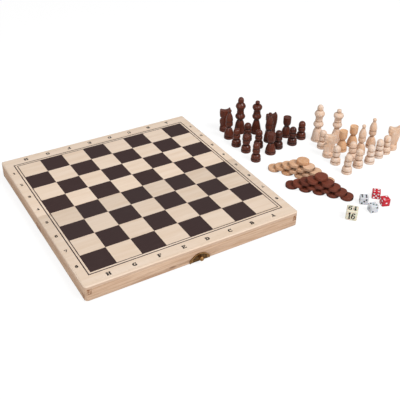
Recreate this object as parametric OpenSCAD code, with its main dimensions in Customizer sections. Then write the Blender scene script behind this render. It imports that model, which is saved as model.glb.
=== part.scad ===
// Folding wooden games compendium box, lying open with its chess side up.
// The origin is the middle of the playing surface, on the fold line.
// +X runs along the fold, +Y away from the clasp, +Z up. Millimetres.

/* [Board] */
// Side of one chess square
square = 32; // [28:0.5:38]
// Plain border beside the board, at the number sides
border_x = 17; // [15:0.5:24]
// Plain border before and behind the board, at the letter sides
border_y = 22; // [18:0.5:28]

/* [Case] */
// Thickness of the plywood panels
panel_t = 4; // [3:0.5:6]
// Height of the rails under the panels
rail_h = 16; // [14:0.5:24]
// Thickness of the rails
rail_t = 8; // [7.5:0.5:12]
// Rounding of the panels' outer top edges
edge_r = 1.5; // [1:0.25:2.5]
// Rounding of the upright outer corners
corner_r = 4.5; // [1:0.5:6]
// Gap between the two halves at the fold
seam = 0.4; // [0.2:0.1:0.8]
// Gap between the open edges when the box is shut
shut_gap = 0.3; // [0.2:0.05:0.6]

/* [Hinges] */
// Distance of each hinge's middle from the side of the case
hinge_inset = 57; // [35:1:85]
// Length of a hinge
leaf_l = 32; // [26:1:44]
// Width of a leaf, from the pin's axis
leaf_w = 7; // [6.5:0.25:7.5]
// Thickness of a leaf
leaf_t = 1; // [0.8:0.1:1.4]
// Outer radius of a knuckle
knuckle_r = 1.85; // [1.6:0.05:2.2]
// Radius of the hinge pin
hinge_pin_r = 0.9; // [0.7:0.05:1.1]
// Radius of a hinge screw's shank
screw_r = 0.85; // [0.6:0.05:1]
// Length of a hinge screw
screw_l = 9; // [6:0.5:12]

/* [Clasp] */
// Radius of the clasp plates' arched edge
clasp_r = 14; // [11:0.5:16]
// Height of a clasp plate, from the open edge
clasp_h = 11.5; // [10:0.5:13]
// Thickness of a clasp plate
clasp_t = 0.8; // [0.6:0.1:1.2]
// Height of a clasp plate's raised rim
clasp_rim_h = 0.6; // [0.3:0.1:0.9]
// Height of the post's axis above the open edge
post_v = 5.5; // [5:0.25:6]
// Radius of the post's neck
post_r = 1.5; // [1.2:0.1:1.8]
// Radius of the post's head
post_head_r = 2.7; // [2.2:0.1:2.8]
// Height of the hook's pivot above the open edge
pivot_v = 6.5; // [6:0.25:7]
// Thickness of the hook
hook_t = 1; // [0.8:0.1:1.4]

/* [Chessmen] */
// Height of a king
king_h = 60.5; // [55:1:70]
// Height of a queen
queen_h = 55; // [48:1:64]
// Height of a bishop
bishop_h = 49; // [42:0.5:56]
// Height of a knight
knight_h = 39; // [35:0.5:46]
// Height of a rook
rook_h = 33.5; // [30:0.5:40]
// Height of a pawn
pawn_h = 29.5; // [26:0.5:34]
// Base radius of a king or queen
royal_r = 9; // [8:0.25:9.5]
// Base radius of a rook or knight
rook_r = 8.25; // [7:0.25:8.5]
// Base radius of a bishop or pawn
man_r = 7.5; // [6.5:0.25:8]
// Thickness of a knight's head
knight_t = 9; // [7:0.5:10]

/* [Draughts] */
// Radius of a draughtsman
draught_r = 9; // [7.5:0.25:9.5]
// Thickness of a draughtsman
draught_t = 5; // [4:0.25:7]
// Spacing of the discs in a wall's row
draught_step = 19.6; // [19.4:0.1:22]
// Discs in the lowest row of a wall
wall_rows = 5; // [3:1:5]

/* [Dice] */
// Side of a die
die_s = 11; // [9:0.5:13]
// Side of the doubling cube
cube_s = 15; // [12:0.5:17]
// Depth of a die's pips
pip_d = 0.3; // [0.2:0.05:0.5]

/* [Hidden] */

$fn = 48;
eps = 0.01;

// Colours
birch = [0.90, 0.82, 0.71];
beech = [0.78, 0.63, 0.50];
brass = [0.55, 0.44, 0.24];
pale_wood = [0.85, 0.68, 0.50];
red_brown = [0.36, 0.17, 0.13];
ivory = [0.88, 0.86, 0.76];

// Case
half_x = 4 * square + border_x;
half_y = 4 * square + border_y;
edge_z = -(panel_t + rail_h);
lap_z = -(panel_t + rail_h / 2);

// Hinges: the axis lies half the shut gap under the open edges
axis_z = edge_z - shut_gap / 2;
floor_z = axis_z - knuckle_r;
hinge_x = half_x - hinge_inset;
knuckles = 5;
knuckle_gap = 0.15;
pin_gap = 0.05;
notch_gap = 0.25;
let_in_gap = 0.05;
screw_dx = leaf_l / 2 - 6;
screw_y = leaf_w - 2.6;
screw_head_r = screw_r + 1;
screw_hole_gap = 0.05;

// Clasp
rim_w = 1.3;
nail_u = clasp_r - 3;
nail_v = 2.6;
ear_r = 2.8;
nail_r = 0.6;
nail_head_r = 1.5;
nail_l = 6;
boss_r = 3.4;
hook_gap = 0.2;
post_gap = 0.3;
hook_y = clasp_t + clasp_rim_h + hook_gap;
hook_reach = pivot_v + post_v + shut_gap;
hook_eye_r = 3;
hook_end_r = post_r + post_gap + 1.6;
hook_arm_w = 3.6;
rivet_r = 1.1;
rivet_head_r = 2.2;
post_neck_l = hook_y + hook_t + hook_gap;
post_head_l = 4.6;
post_flare_l = 1.2;
post_cap_h = 1.5;

// Places of the loose pieces, from the middle of the case's right side
dark_king_at = [[72.5, 94]];
dark_queen_at = [[94.5, 80.5]];
dark_bishops_at = [[47.5, 86.5], [95.5, 48]];
dark_knights_at = [[55, 110.5], [109, 62]];
dark_rooks_at = [[77, 16.5], [129, 47.5]];
dark_pawns_at = [[44.5, 60.5], [69, 67], [47.5, 38.5], [71.5, 40.5], [45.5, 9.5], [96.5, 24],
    [122, 22.5], [145.5, 30.5]];
light_king_at = [[163.5, 14]];
light_queen_at = [[186.5, -3]];
light_bishops_at = [[194, -51], [222, -43.5]];
light_knights_at = [[147, -33], [246.5, -63]];
light_rooks_at = [[176, -29.5], [200, -26]];
light_pawns_at = [[155.5, -8.5], [143, -55], [140.5, -83], [166, -78], [171.5, -57.5], [188.5, -78],
    [212, -71.5], [229.5, -68]];
dark_knights_angles = [152, 158];
light_knights_angles = [150, 145];
dark_wall_at = [73.5, -103.5];
light_wall_at = [77, -58];
dark_wall_angle = -51.5;
light_wall_angle = -56;
// How much further apart than usual a wall's discs lie, and how far back its top disc does
dark_wall_loose = -0.4;
light_wall_loose = 0.4;
top_disc_back = 3.5;
draught_ease = 0.5;
layer_gap = 0.04;
white_dice_at = [[109.5, -153], [107, -173.5]];
white_dice_angles = [-37, -14];
red_dice_at = [[133.5, -151], [131.5, -170]];
red_dice_angles = [-43, -20];
doubling_at = [72.5, -171];
doubling_angle = -47;

// Plan of one half: its outer corners are rounded, and its fold side is square.
// side is -1 for the front half and 1 for the back half.
module half_plan(side, z0, z1) {
    mirror([0, side > 0 ? 0 : 1, 0])
        translate([0, 0, z0]) {
            translate([-half_x, seam / 2, 0])
                cube([2 * half_x, half_y - corner_r - seam / 2, z1 - z0]);
            translate([-half_x + corner_r, seam / 2, 0])
                cube([2 * (half_x - corner_r), half_y - seam / 2, z1 - z0]);
            for (x = [-1, 1])
                translate([x * (half_x - corner_r), half_y - corner_r, 0])
                    cylinder(r = corner_r, h = z1 - z0);
        }
}

// Plywood panel of one half, with rounded outer top edges
module panel(side) {
    color(birch)
        intersection() {
            half_plan(side, -panel_t, 0);
            rotate([90, 0, 0])
                linear_extrude(2 * half_y + 2, center = true)
                    union() {
                        translate([-half_x, -panel_t]) square([2 * half_x, panel_t - edge_r]);
                        translate([-half_x + edge_r, -panel_t]) square([2 * (half_x - edge_r), panel_t]);
                        for (x = [-1, 1])
                            translate([x * (half_x - edge_r), -edge_r]) circle(r = edge_r);
                    }
            mirror([0, side > 0 ? 0 : 1, 0])
                rotate([90, 0, 90])
                    linear_extrude(2 * half_x + 2, center = true)
                        union() {
                            translate([0, -panel_t]) square([half_y, panel_t - edge_r]);
                            translate([0, -panel_t]) square([half_y - edge_r, panel_t]);
                            translate([half_y - edge_r, -edge_r]) circle(r = edge_r);
                        }
        }
}

// Block of a rail that runs along X, between y0 and y0 + rail_t.
// Its lower half runs out to the corners, and its upper half stops at the side rails.
module long_block(y0) {
    translate([-half_x, y0, edge_z])
        cube([2 * half_x, rail_t, lap_z - edge_z]);
    translate([-half_x + rail_t, y0, lap_z - eps])
        cube([2 * (half_x - rail_t), rail_t, -panel_t - lap_z + eps]);
}

// Outer long rail of one half, with the holes of its clasp
module outer_rail(side) {
    color(beech)
        mirror([0, side > 0 ? 0 : 1, 0])
            difference() {
                intersection() {
                    long_block(half_y - rail_t);
                    half_plan(1, edge_z, -panel_t);
                }
                for (u = [-1, 1])
                    clasp_axis(u * nail_u, nail_v) cylinder(r = nail_r, h = 2 * nail_l, center = true);
                clasp_axis(0, side < 0 ? post_v : pivot_v)
                    cylinder(r = side < 0 ? post_r : rivet_r, h = 2 * nail_l, center = true);
            }
}

// Long rail beside the fold, with the gains for the two hinges
module fold_rail(side) {
    color(beech)
        mirror([0, side > 0 ? 0 : 1, 0])
            difference() {
                long_block(seam / 2);
                for (x = [-hinge_x, hinge_x]) hinge_gain(x);
            }
}

// Side rail of one half. Its upper half runs out to the corners.
// end is -1 for the left rail and 1 for the right rail.
module side_rail(side, end) {
    color(beech)
        mirror([0, side > 0 ? 0 : 1, 0])
            mirror([end > 0 ? 0 : 1, 0, 0])
                intersection() {
                    union() {
                        translate([half_x - rail_t, seam / 2, lap_z])
                            cube([rail_t, half_y - seam / 2, -panel_t - lap_z]);
                        translate([half_x - rail_t, seam / 2 + rail_t, edge_z])
                            cube([rail_t, half_y - seam / 2 - 2 * rail_t, lap_z - edge_z + eps]);
                    }
                    half_plan(1, edge_z, -panel_t);
                }
}

// Room that one hinge takes out of a fold rail: the leaf, the knuckles and the screws
module hinge_gain(x) {
    length = leaf_l + 2 * let_in_gap;
    translate([x - length / 2, 0, edge_z - eps])
        cube([length, leaf_w + let_in_gap, leaf_t + let_in_gap + eps]);
    translate([x, 0, axis_z])
        rotate([0, 90, 0])
            cylinder(r = knuckle_r + notch_gap, h = length, center = true);
    for (dx = [-1, 1])
        translate([x + dx * screw_dx, screw_y, edge_z])
            cylinder(r = screw_r, h = screw_l);
}

// One leaf of a hinge. The front leaf has the odd knuckles and the back leaf the even ones.
module leaf(x, side) {
    pitch = leaf_l / knuckles;
    own = [for (i = [0 : knuckles - 1]) if ((i % 2 == 0) == (side < 0)) i];
    others = [for (i = [0 : knuckles - 1]) if ((i % 2 == 0) != (side < 0)) i];
    color(brass)
        mirror([0, side > 0 ? 0 : 1, 0])
            translate([x - leaf_l / 2, 0, 0])
                difference() {
                    union() {
                        translate([0, 0, edge_z]) cube([leaf_l, leaf_w, leaf_t]);
                        for (i = own)
                            translate([i * pitch + (i > 0 ? knuckle_gap / 2 : 0), 0, axis_z])
                                rotate([0, 90, 0])
                                    cylinder(r = knuckle_r, h = pitch - (i > 0 ? knuckle_gap / 2 : 0)
                                        - (i < knuckles - 1 ? knuckle_gap / 2 : 0));
                    }
                    for (i = others)
                        translate([i * pitch - knuckle_gap / 2, -knuckle_r - notch_gap,
                            axis_z - 2 * knuckle_r])
                            cube([pitch + knuckle_gap, 2 * (knuckle_r + notch_gap), 4 * knuckle_r]);
                    translate([-eps, 0, axis_z])
                        rotate([0, 90, 0])
                            cylinder(r = hinge_pin_r + pin_gap, h = leaf_l + 2 * eps);
                    for (dx = [-1, 1])
                        translate([leaf_l / 2 + dx * screw_dx, screw_y, edge_z])
                            screw_shape(screw_hole_gap);
                }
}

// Countersunk wood screw, head down, grown by gap on its radius
module screw_shape(gap = 0) {
    head_l = screw_head_r - screw_r;
    translate([0, 0, -eps]) cylinder(r1 = screw_head_r + gap, r2 = screw_r + gap, h = head_l + eps);
    cylinder(r = screw_r + gap, h = gap > 0 ? leaf_t + 1 : screw_l - 1.5);
    if (gap == 0)
        translate([0, 0, screw_l - 1.5]) cylinder(r1 = screw_r, r2 = 0.2, h = 1.5);
}

// The four screws of one half's leaves
module hinge_screws(side) {
    slot_w = 0.5;
    slot_d = 0.45;
    color(brass)
        for (x = [-hinge_x, hinge_x], dx = [-1, 1])
            translate([x + dx * screw_dx, side * screw_y, edge_z])
                difference() {
                    intersection() {
                        screw_shape();
                        cylinder(r = screw_head_r, h = screw_l);
                    }
                    rotate(30 * dx)
                        translate([-screw_head_r, -slot_w / 2, -eps])
                            cube([2 * screw_head_r, slot_w, slot_d]);
                }
}

// Hinge pin, flush with the ends of the knuckles
module hinge_pin(x) {
    color(brass)
        translate([x, 0, axis_z])
            rotate([0, 90, 0])
                cylinder(r = hinge_pin_r, h = leaf_l, center = true);
}

// Children on an axis that stands out of the back face at u along X and v above the open edge.
// Their +Z runs away from the case.
module clasp_axis(u, v) {
    translate([u, half_y, edge_z + v])
        rotate([-90, 0, 0])
            children();
}

// Children drawn flat with u along X and v above the open edge, raised off the back face
module on_back_face(from, thick) {
    translate([0, half_y + from + thick, edge_z])
        rotate([90, 0, 0])
            linear_extrude(thick)
                children();
}

// Outline of a clasp plate: an arched plate with an ear at each nail
module clasp_outline() {
    intersection() {
        union() {
            translate([0, clasp_h - clasp_r]) circle(r = clasp_r);
            for (u = [-1, 1])
                translate([u * nail_u, nail_v]) circle(r = ear_r);
        }
        translate([-2 * clasp_r, 0]) square([4 * clasp_r, 2 * clasp_r]);
    }
}

// Clasp plate with a raised rim and a boss under its post or hook
module clasp_plate(side) {
    bore_v = side < 0 ? post_v : pivot_v;
    bore_r = side < 0 ? post_r : rivet_r;
    boss_l = side < 0 ? clasp_t : hook_y - pin_gap;
    color(brass)
        mirror([0, side > 0 ? 0 : 1, 0])
            difference() {
                union() {
                    on_back_face(0, clasp_t) clasp_outline();
                    on_back_face(0, clasp_t + clasp_rim_h)
                        difference() {
                            clasp_outline();
                            intersection() {
                                translate([0, clasp_h - clasp_r]) circle(r = clasp_r - rim_w);
                                translate([-2 * clasp_r, -1]) square([4 * clasp_r, 2 * clasp_r]);
                            }
                            for (u = [-1, 1])
                                translate([u * nail_u, nail_v]) circle(r = nail_head_r + 0.3);
                        }
                    clasp_axis(0, bore_v) cylinder(r = boss_r, h = boss_l);
                }
                clasp_axis(0, bore_v) cylinder(r = bore_r, h = 8 * clasp_t, center = true);
                for (u = [-1, 1])
                    clasp_axis(u * nail_u, nail_v) cylinder(r = nail_r, h = 8 * clasp_t, center = true);
            }
}

// The two round-headed nails of one clasp plate
module clasp_nails(side) {
    color(brass)
        mirror([0, side > 0 ? 0 : 1, 0])
            for (u = [-1, 1])
                clasp_axis(u * nail_u, nail_v) {
                    translate([0, 0, clasp_t]) dome(nail_head_r, 0.8);
                    translate([0, 0, clasp_t - nail_l]) cylinder(r = nail_r, h = nail_l + eps);
                }
}

// Spherical cap of radius r and height h, flat side down
module dome(r, h) {
    ball_r = (r * r + h * h) / (2 * h);
    intersection() {
        translate([0, 0, h - ball_r]) sphere(r = ball_r);
        cylinder(r = r, h = h);
    }
}

// Post that the hook catches, with a waisted neck and a round head
module clasp_post() {
    color(brass)
        mirror([0, 1, 0])
            clasp_axis(0, post_v) {
                translate([0, 0, -nail_l]) cylinder(r = post_r, h = nail_l + post_neck_l + eps);
                translate([0, 0, post_neck_l]) cylinder(r1 = post_r, r2 = post_head_r, h = post_flare_l);
                translate([0, 0, post_neck_l + post_flare_l - eps])
                    cylinder(r = post_head_r, h = post_head_l - post_flare_l - post_cap_h + 2 * eps);
                translate([0, 0, post_neck_l + post_head_l - post_cap_h]) dome(post_head_r, post_cap_h);
            }
}

// Swinging hook, stowed along the edge. Its mouth opens to the side that meets the post first.
module clasp_hook() {
    mouth_r = post_r + post_gap;
    color(brass)
        on_back_face(hook_y, hook_t)
            translate([0, pivot_v])
                difference() {
                    union() {
                        circle(r = hook_eye_r);
                        translate([0, -hook_arm_w / 2]) square([hook_reach, hook_arm_w]);
                        translate([hook_reach, 0]) circle(r = hook_end_r);
                        translate([hook_reach + hook_end_r - 1, -1]) square([4, 2]);
                        translate([hook_reach + hook_end_r + 3, 0]) circle(r = 1.5);
                    }
                    circle(r = rivet_r + pin_gap);
                    translate([hook_reach, 0]) circle(r = mouth_r);
                    translate([hook_reach - mouth_r, -2 * hook_end_r]) square([2 * mouth_r, 2 * hook_end_r]);
                }
}

// Rivet that the hook turns on
module hook_rivet() {
    color(brass)
        clasp_axis(0, pivot_v) {
            translate([0, 0, -nail_l]) cylinder(r = rivet_r, h = nail_l + hook_y + hook_t + pin_gap + eps);
            translate([0, 0, hook_y + hook_t + pin_gap]) dome(rivet_head_r, 1);
        }
}

// A spot on the ground, measured from the middle of the case's right side
module stand(at, turn = 0) {
    translate([half_x + at[0], at[1], floor_z])
        rotate(turn)
            children();
}

// Turned piece. Its outline runs from the foot to the tip in millimetres, as measured on the
// middle size, and is stretched to the radius and the height asked for.
module turned(base_r, height, outline) {
    wide = base_r / max([for (p = outline) p[0]]);
    tall = height / outline[len(outline) - 1][1];
    rotate_extrude()
        polygon([for (p = concat([[0, 0]], outline, [[0, outline[len(outline) - 1][1]]]))
            [p[0] * wide, p[1] * tall]]);
}

pawn_outline = [
    [7, 0], [7.5, 0.8], [7.5, 4], [7, 4.7], [7.35, 5.3], [7.2, 7.8], [6.3, 10], [5, 11.4], [4.1, 12.1],
    [5.2, 13], [5.75, 15.5], [5.6, 18.2], [5.1, 19.9], [4.7, 20.4], [5.3, 22], [5.35, 23.8], [4.9, 26.4],
    [3.4, 28.6], [1.4, 29.4], [0.2, 29.5]
];

rook_outline = [
    [7.7, 0], [8.25, 0.8], [8.25, 3.8], [7.6, 4.5], [7.8, 5.2], [7.3, 8.5], [6.2, 12.5], [4.6, 16],
    [3.6, 18.2], [3.4, 18.9], [4.6, 20.4], [5.8, 22.6], [6.15, 25], [6.2, 33.6], [5.9, 34], [4.9, 34]
];

bishop_outline = [
    [7.1, 0], [7.5, 0.8], [7.5, 4.2], [6.9, 4.8], [7.3, 5.4], [7.2, 8], [6.7, 11], [5.2, 15.5], [3.4, 18.6],
    [2.7, 19.8], [4.6, 21.8], [5.6, 23.4], [5.6, 27], [5.3, 29.3], [4.9, 29.8], [5.5, 30.6], [5.6, 33.5],
    [4.7, 38], [3, 42.5], [1.8, 45], [2.6, 46.2], [2.85, 47.4], [2.3, 49.2], [0.8, 49.9], [0.2, 50]
];

king_outline = [
    [8.5, 0], [9, 0.8], [9, 2.2], [8.4, 3], [7.9, 7], [7, 15.5], [5.4, 20], [4, 22.5], [3.7, 23.4],
    [6.4, 24.8], [7.8, 27.2], [7.8, 28.6], [6.6, 31.2], [5.6, 32.8], [5, 33.6], [5.7, 34.4], [5.4, 38.5],
    [6.4, 41.6], [7.8, 44.2], [7.9, 45.4], [7.2, 47.6], [5.6, 49.6], [4.2, 51.2], [4.65, 54.3],
    [4.2, 57], [2.6, 59.2], [1, 59.9], [0.2, 60]
];

queen_outline = [
    [8.5, 0], [9, 0.8], [9, 2.2], [8.3, 3], [7.5, 8], [6.4, 14], [5.2, 18.5], [4.1, 22.5], [3.5, 24.2],
    [6, 26.2], [7.1, 28.6], [7.1, 30.2], [6.2, 32.2], [5.6, 34.2], [5, 35], [5.6, 35.8], [5.2, 38.8],
    [6.4, 41.5], [7.5, 43.6], [7.7, 45.4], [7.2, 47.2], [5.6, 49], [3.2, 50], [2.8, 50.5], [3.5, 52.8],
    [3.1, 55], [1.2, 55.9], [0.2, 56]
];

knight_foot = [
    [7.7, 0], [8.25, 0.8], [8.25, 3.8], [7.6, 4.5], [7.9, 5.2], [7.8, 6.8], [6.8, 8.2], [5.4, 9], [5.4, 12]
];

// A group of alike turned pieces
module turned_set(places, base_r, height, outline, tint) {
    color(tint)
        for (at = places)
            stand(at)
                turned(base_r, height, outline);
}

// Side outline of a knight's head in millimetres, as measured on the middle size, nose towards +X
knight_head = [
    [-6, 9], [-6.6, 12], [-8, 18], [-9, 25], [-9.4, 31], [-8.8, 36], [-7, 39], [-5, 37.2], [-1.5, 35.8],
    [2.5, 35.8], [6, 37], [8, 36.2], [8.3, 33], [8.2, 27], [7.4, 25], [5.4, 24], [4.8, 22.6],
    [6.4, 20.6], [8, 18.5], [8.2, 15], [7.4, 11.5], [6, 9]
];

module knight() {
    wide = rook_r / max([for (p = knight_foot) p[0]]);
    tall = knight_h / max([for (p = knight_head) p[1]]);
    turned(rook_r, tall * max([for (p = knight_foot) p[1]]), knight_foot);
    rotate([90, 0, 0])
        linear_extrude(knight_t, center = true)
            polygon([for (p = knight_head) [p[0] * wide, p[1] * tall]]);
}

module knights(places, angles, tint) {
    color(tint)
        for (i = [0 : len(places) - 1])
            stand(places[i], angles[i])
                knight();
}

// Flat turned disc with eased edges
module draught() {
    cylinder(r1 = draught_r - draught_ease, r2 = draught_r, h = draught_ease);
    translate([0, 0, draught_ease - eps])
        cylinder(r = draught_r, h = draught_t - 2 * draught_ease + 2 * eps);
    translate([0, 0, draught_t - draught_ease])
        cylinder(r1 = draught_r, r2 = draught_r - draught_ease, h = draught_ease);
}

// Wall of draughtsmen, laid like bricks, each row one disc shorter than the row below
module wall(at, angle, loose, tint) {
    color(tint)
        stand(at, angle)
            for (row = [0 : wall_rows - 1], i = [0 : wall_rows - 1 - row])
                translate([(i - (wall_rows - 1 - row) / 2) * (draught_step + loose),
                    row == wall_rows - 1 ? top_disc_back : 0, row * (draught_t + layer_gap)])
                    draught();
}

// Cube with rounded corners, standing on the ground
module rounded_cube(s) {
    translate([0, 0, s / 2])
        intersection() {
            cube(s, center = true);
            sphere(r = 0.80 * s);
        }
}

// Places of a face's pips, in shares of the die's side
function pips(n) = concat(
    n % 2 == 1 ? [[0, 0]] : [],
    n > 1 ? [[-0.25, -0.25], [0.25, 0.25]] : [],
    n > 3 ? [[-0.25, 0.25], [0.25, -0.25]] : [],
    n == 6 ? [[-0.25, 0], [0.25, 0]] : []);

// Die with its pips sunk in, with the face up, the face front and the face right given.
// spin turns the upper face's own pips.
module die(up, front, right, spin = 0) {
    faces = [[up, [0, 0, spin]], [7 - up, [180, 0, 0]], [front, [90, 0, 0]], [7 - front, [-90, 0, 0]],
        [right, [0, 90, 0]], [7 - right, [0, -90, 0]]];
    difference() {
        rounded_cube(die_s);
        translate([0, 0, die_s / 2])
            for (f = faces)
                rotate(f[1])
                    for (p = pips(f[0]))
                        translate([p[0] * die_s, p[1] * die_s, die_s / 2 - pip_d])
                            cylinder(r = 0.1 * die_s, h = 1);
    }
}

module white_dice() {
    color("white") {
        stand(white_dice_at[0], white_dice_angles[0]) die(6, 3, 2);
        stand(white_dice_at[1], white_dice_angles[1]) die(3, 2, 6, 90);
    }
}

module red_dice() {
    color("crimson") {
        stand(red_dice_at[0], red_dice_angles[0]) die(4, 5, 1);
        stand(red_dice_at[1], red_dice_angles[1]) die(2, 1, 3);
    }
}

module doubling_cube() {
    color(ivory)
        stand(doubling_at, doubling_angle)
            rounded_cube(cube_s);
}

panel(-1);  // front_panel
outer_rail(-1);  // front_rail
side_rail(-1, -1);  // front_left_rail
side_rail(-1, 1);  // front_right_rail
fold_rail(-1);  // front_fold_rail
panel(1);  // back_panel
outer_rail(1);  // back_rail
side_rail(1, -1);  // back_left_rail
side_rail(1, 1);  // back_right_rail
fold_rail(1);  // back_fold_rail
leaf(-hinge_x, -1);  // left_hinge_front_leaf
leaf(-hinge_x, 1);  // left_hinge_back_leaf
hinge_pin(-hinge_x);  // left_hinge_pin
leaf(hinge_x, -1);  // right_hinge_front_leaf
leaf(hinge_x, 1);  // right_hinge_back_leaf
hinge_pin(hinge_x);  // right_hinge_pin
hinge_screws(-1);  // front_hinge_screws
hinge_screws(1);  // back_hinge_screws
clasp_plate(-1);  // front_clasp_plate
clasp_nails(-1);  // front_clasp_nails
clasp_post();
clasp_plate(1);  // back_clasp_plate
clasp_nails(1);  // back_clasp_nails
clasp_hook();
hook_rivet();
turned_set(light_king_at, royal_r, king_h, king_outline, pale_wood);  // light_king
turned_set(light_queen_at, royal_r, queen_h, queen_outline, pale_wood);  // light_queen
turned_set(light_bishops_at, man_r, bishop_h, bishop_outline, pale_wood);  // light_bishops
knights(light_knights_at, light_knights_angles, pale_wood);  // light_knights
turned_set(light_rooks_at, rook_r, rook_h, rook_outline, pale_wood);  // light_rooks
turned_set(light_pawns_at, man_r, pawn_h, pawn_outline, pale_wood);  // light_pawns
turned_set(dark_king_at, royal_r, king_h, king_outline, red_brown);  // dark_king
turned_set(dark_queen_at, royal_r, queen_h, queen_outline, red_brown);  // dark_queen
turned_set(dark_bishops_at, man_r, bishop_h, bishop_outline, red_brown);  // dark_bishops
knights(dark_knights_at, dark_knights_angles, red_brown);  // dark_knights
turned_set(dark_rooks_at, rook_r, rook_h, rook_outline, red_brown);  // dark_rooks
turned_set(dark_pawns_at, man_r, pawn_h, pawn_outline, red_brown);  // dark_pawns
wall(light_wall_at, light_wall_angle, light_wall_loose, pale_wood);  // light_draughts
wall(dark_wall_at, dark_wall_angle, dark_wall_loose, red_brown);  // dark_draughts
white_dice();
red_dice();
doubling_cube();
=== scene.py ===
"""Looks of the folding games compendium box, with its chessmen, draughts and dice."""

import logging
import math
from dataclasses import dataclass, field
from enum import Enum

import bmesh
import bpy
import numpy as np
from mathutils import Matrix, Vector


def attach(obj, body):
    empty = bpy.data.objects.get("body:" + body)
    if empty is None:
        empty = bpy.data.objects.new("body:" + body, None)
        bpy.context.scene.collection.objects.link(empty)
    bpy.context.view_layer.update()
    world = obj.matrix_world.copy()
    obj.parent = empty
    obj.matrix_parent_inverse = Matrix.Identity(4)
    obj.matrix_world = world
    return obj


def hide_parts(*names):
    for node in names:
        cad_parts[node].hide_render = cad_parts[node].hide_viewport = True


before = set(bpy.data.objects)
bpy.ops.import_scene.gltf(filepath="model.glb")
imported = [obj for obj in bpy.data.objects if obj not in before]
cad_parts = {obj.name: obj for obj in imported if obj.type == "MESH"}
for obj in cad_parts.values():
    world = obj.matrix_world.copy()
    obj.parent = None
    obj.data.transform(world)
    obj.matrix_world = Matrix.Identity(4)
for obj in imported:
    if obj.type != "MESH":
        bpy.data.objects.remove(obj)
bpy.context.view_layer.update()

LOG = logging.getLogger("games_box")
MM = 0.001
GROUND = -22.0
CASE_SIDE = 145.0
CASE_FRONT = 150.0
SQUARE = 32.0
SIDES = {"front": -1, "back": 1}
WELD = 0.002
FLAT_ANGLE = 0.8
EDGE_ANGLE = 34.0
CREASE = 32.0

Point = tuple[float, float]
Triple = tuple[float, float, float]
Shell = tuple[list, list]
Spatial = Vector | np.ndarray


def tone(red: int, green: int, blue: int) -> Triple:
    """A colour as it is seen on a screen, turned into the shader's linear light.

    Args:
        red: Red, 0 to 255.
        green: Green, 0 to 255.
        blue: Blue, 0 to 255.

    Returns:
        The linear colour, 0 to 1.
    """
    shares = (c / 255 for c in (red, green, blue))
    return tuple(s / 12.92 if s < 0.0404 else ((s + 0.055) / 1.055) ** 2.4 for s in shares)


class Axis(Enum):
    """The direction that the grain runs in."""

    X = 0
    Y = 1

    def scales(self, along: float, across: float) -> Triple:
        """Factors that stretch a pattern along the grain.

        Args:
            along: Factor along the grain.
            across: Factor in the two other directions.

        Returns:
            One factor for each axis.
        """
        return tuple(along if i == self.value else across for i in range(3))


class Value:
    """A socket of a node tree, with its maths written as Python operators."""

    def __init__(self, graph: "Graph", socket: bpy.types.NodeSocket) -> None:
        """Keeps the socket and the graph that its maths goes into."""
        self.graph, self.socket = graph, socket

    def use(self, operation: str, *others: "Value | float") -> "Value":
        """A Math node with this value first."""
        return self.graph.maths(operation, self, *others)

    def __add__(self, other: "Value | float") -> "Value":
        """Sum."""
        return self.use("ADD", other)

    def __mul__(self, other: "Value | float") -> "Value":
        """Product."""
        return self.use("MULTIPLY", other)

    __radd__, __rmul__ = __add__, __mul__

    def __sub__(self, other: "Value | float") -> "Value":
        """Difference."""
        return self.use("SUBTRACT", other)

    def __rsub__(self, other: float) -> "Value":
        """Difference from a number."""
        return self.graph.maths("SUBTRACT", other, self)

    def __truediv__(self, other: "Value | float") -> "Value":
        """Quotient."""
        return self.use("DIVIDE", other)

    def __gt__(self, other: "Value | float") -> "Value":
        """1 where this is the greater, else 0."""
        return self.use("GREATER_THAN", other)

    def __lt__(self, other: "Value | float") -> "Value":
        """1 where this is the smaller, else 0."""
        return self.use("LESS_THAN", other)

    def __abs__(self) -> "Value":
        """Distance from 0."""
        return self.use("ABSOLUTE")

    def near(self, middle: float, reach: float) -> "Value":
        """1 within reach of middle, else 0."""
        return abs(self - middle) < reach

    def rise(self, low: float, high: float) -> "Value":
        """A smooth climb from 0 at low to 1 at high."""
        return self.graph.result("ShaderNodeMapRange", {"Value": self, "From Min": low, "From Max": high},
                                 interpolation_type="SMOOTHSTEP")

    def ring(self, climb: float, fall: float) -> "Value":
        """The wood of one growth ring, from 0 to 1: a slow climb and a quick fall at its end."""
        return self.rise(climb, 0.9) * (1.0 - self.rise(fall, 1.0))


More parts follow.
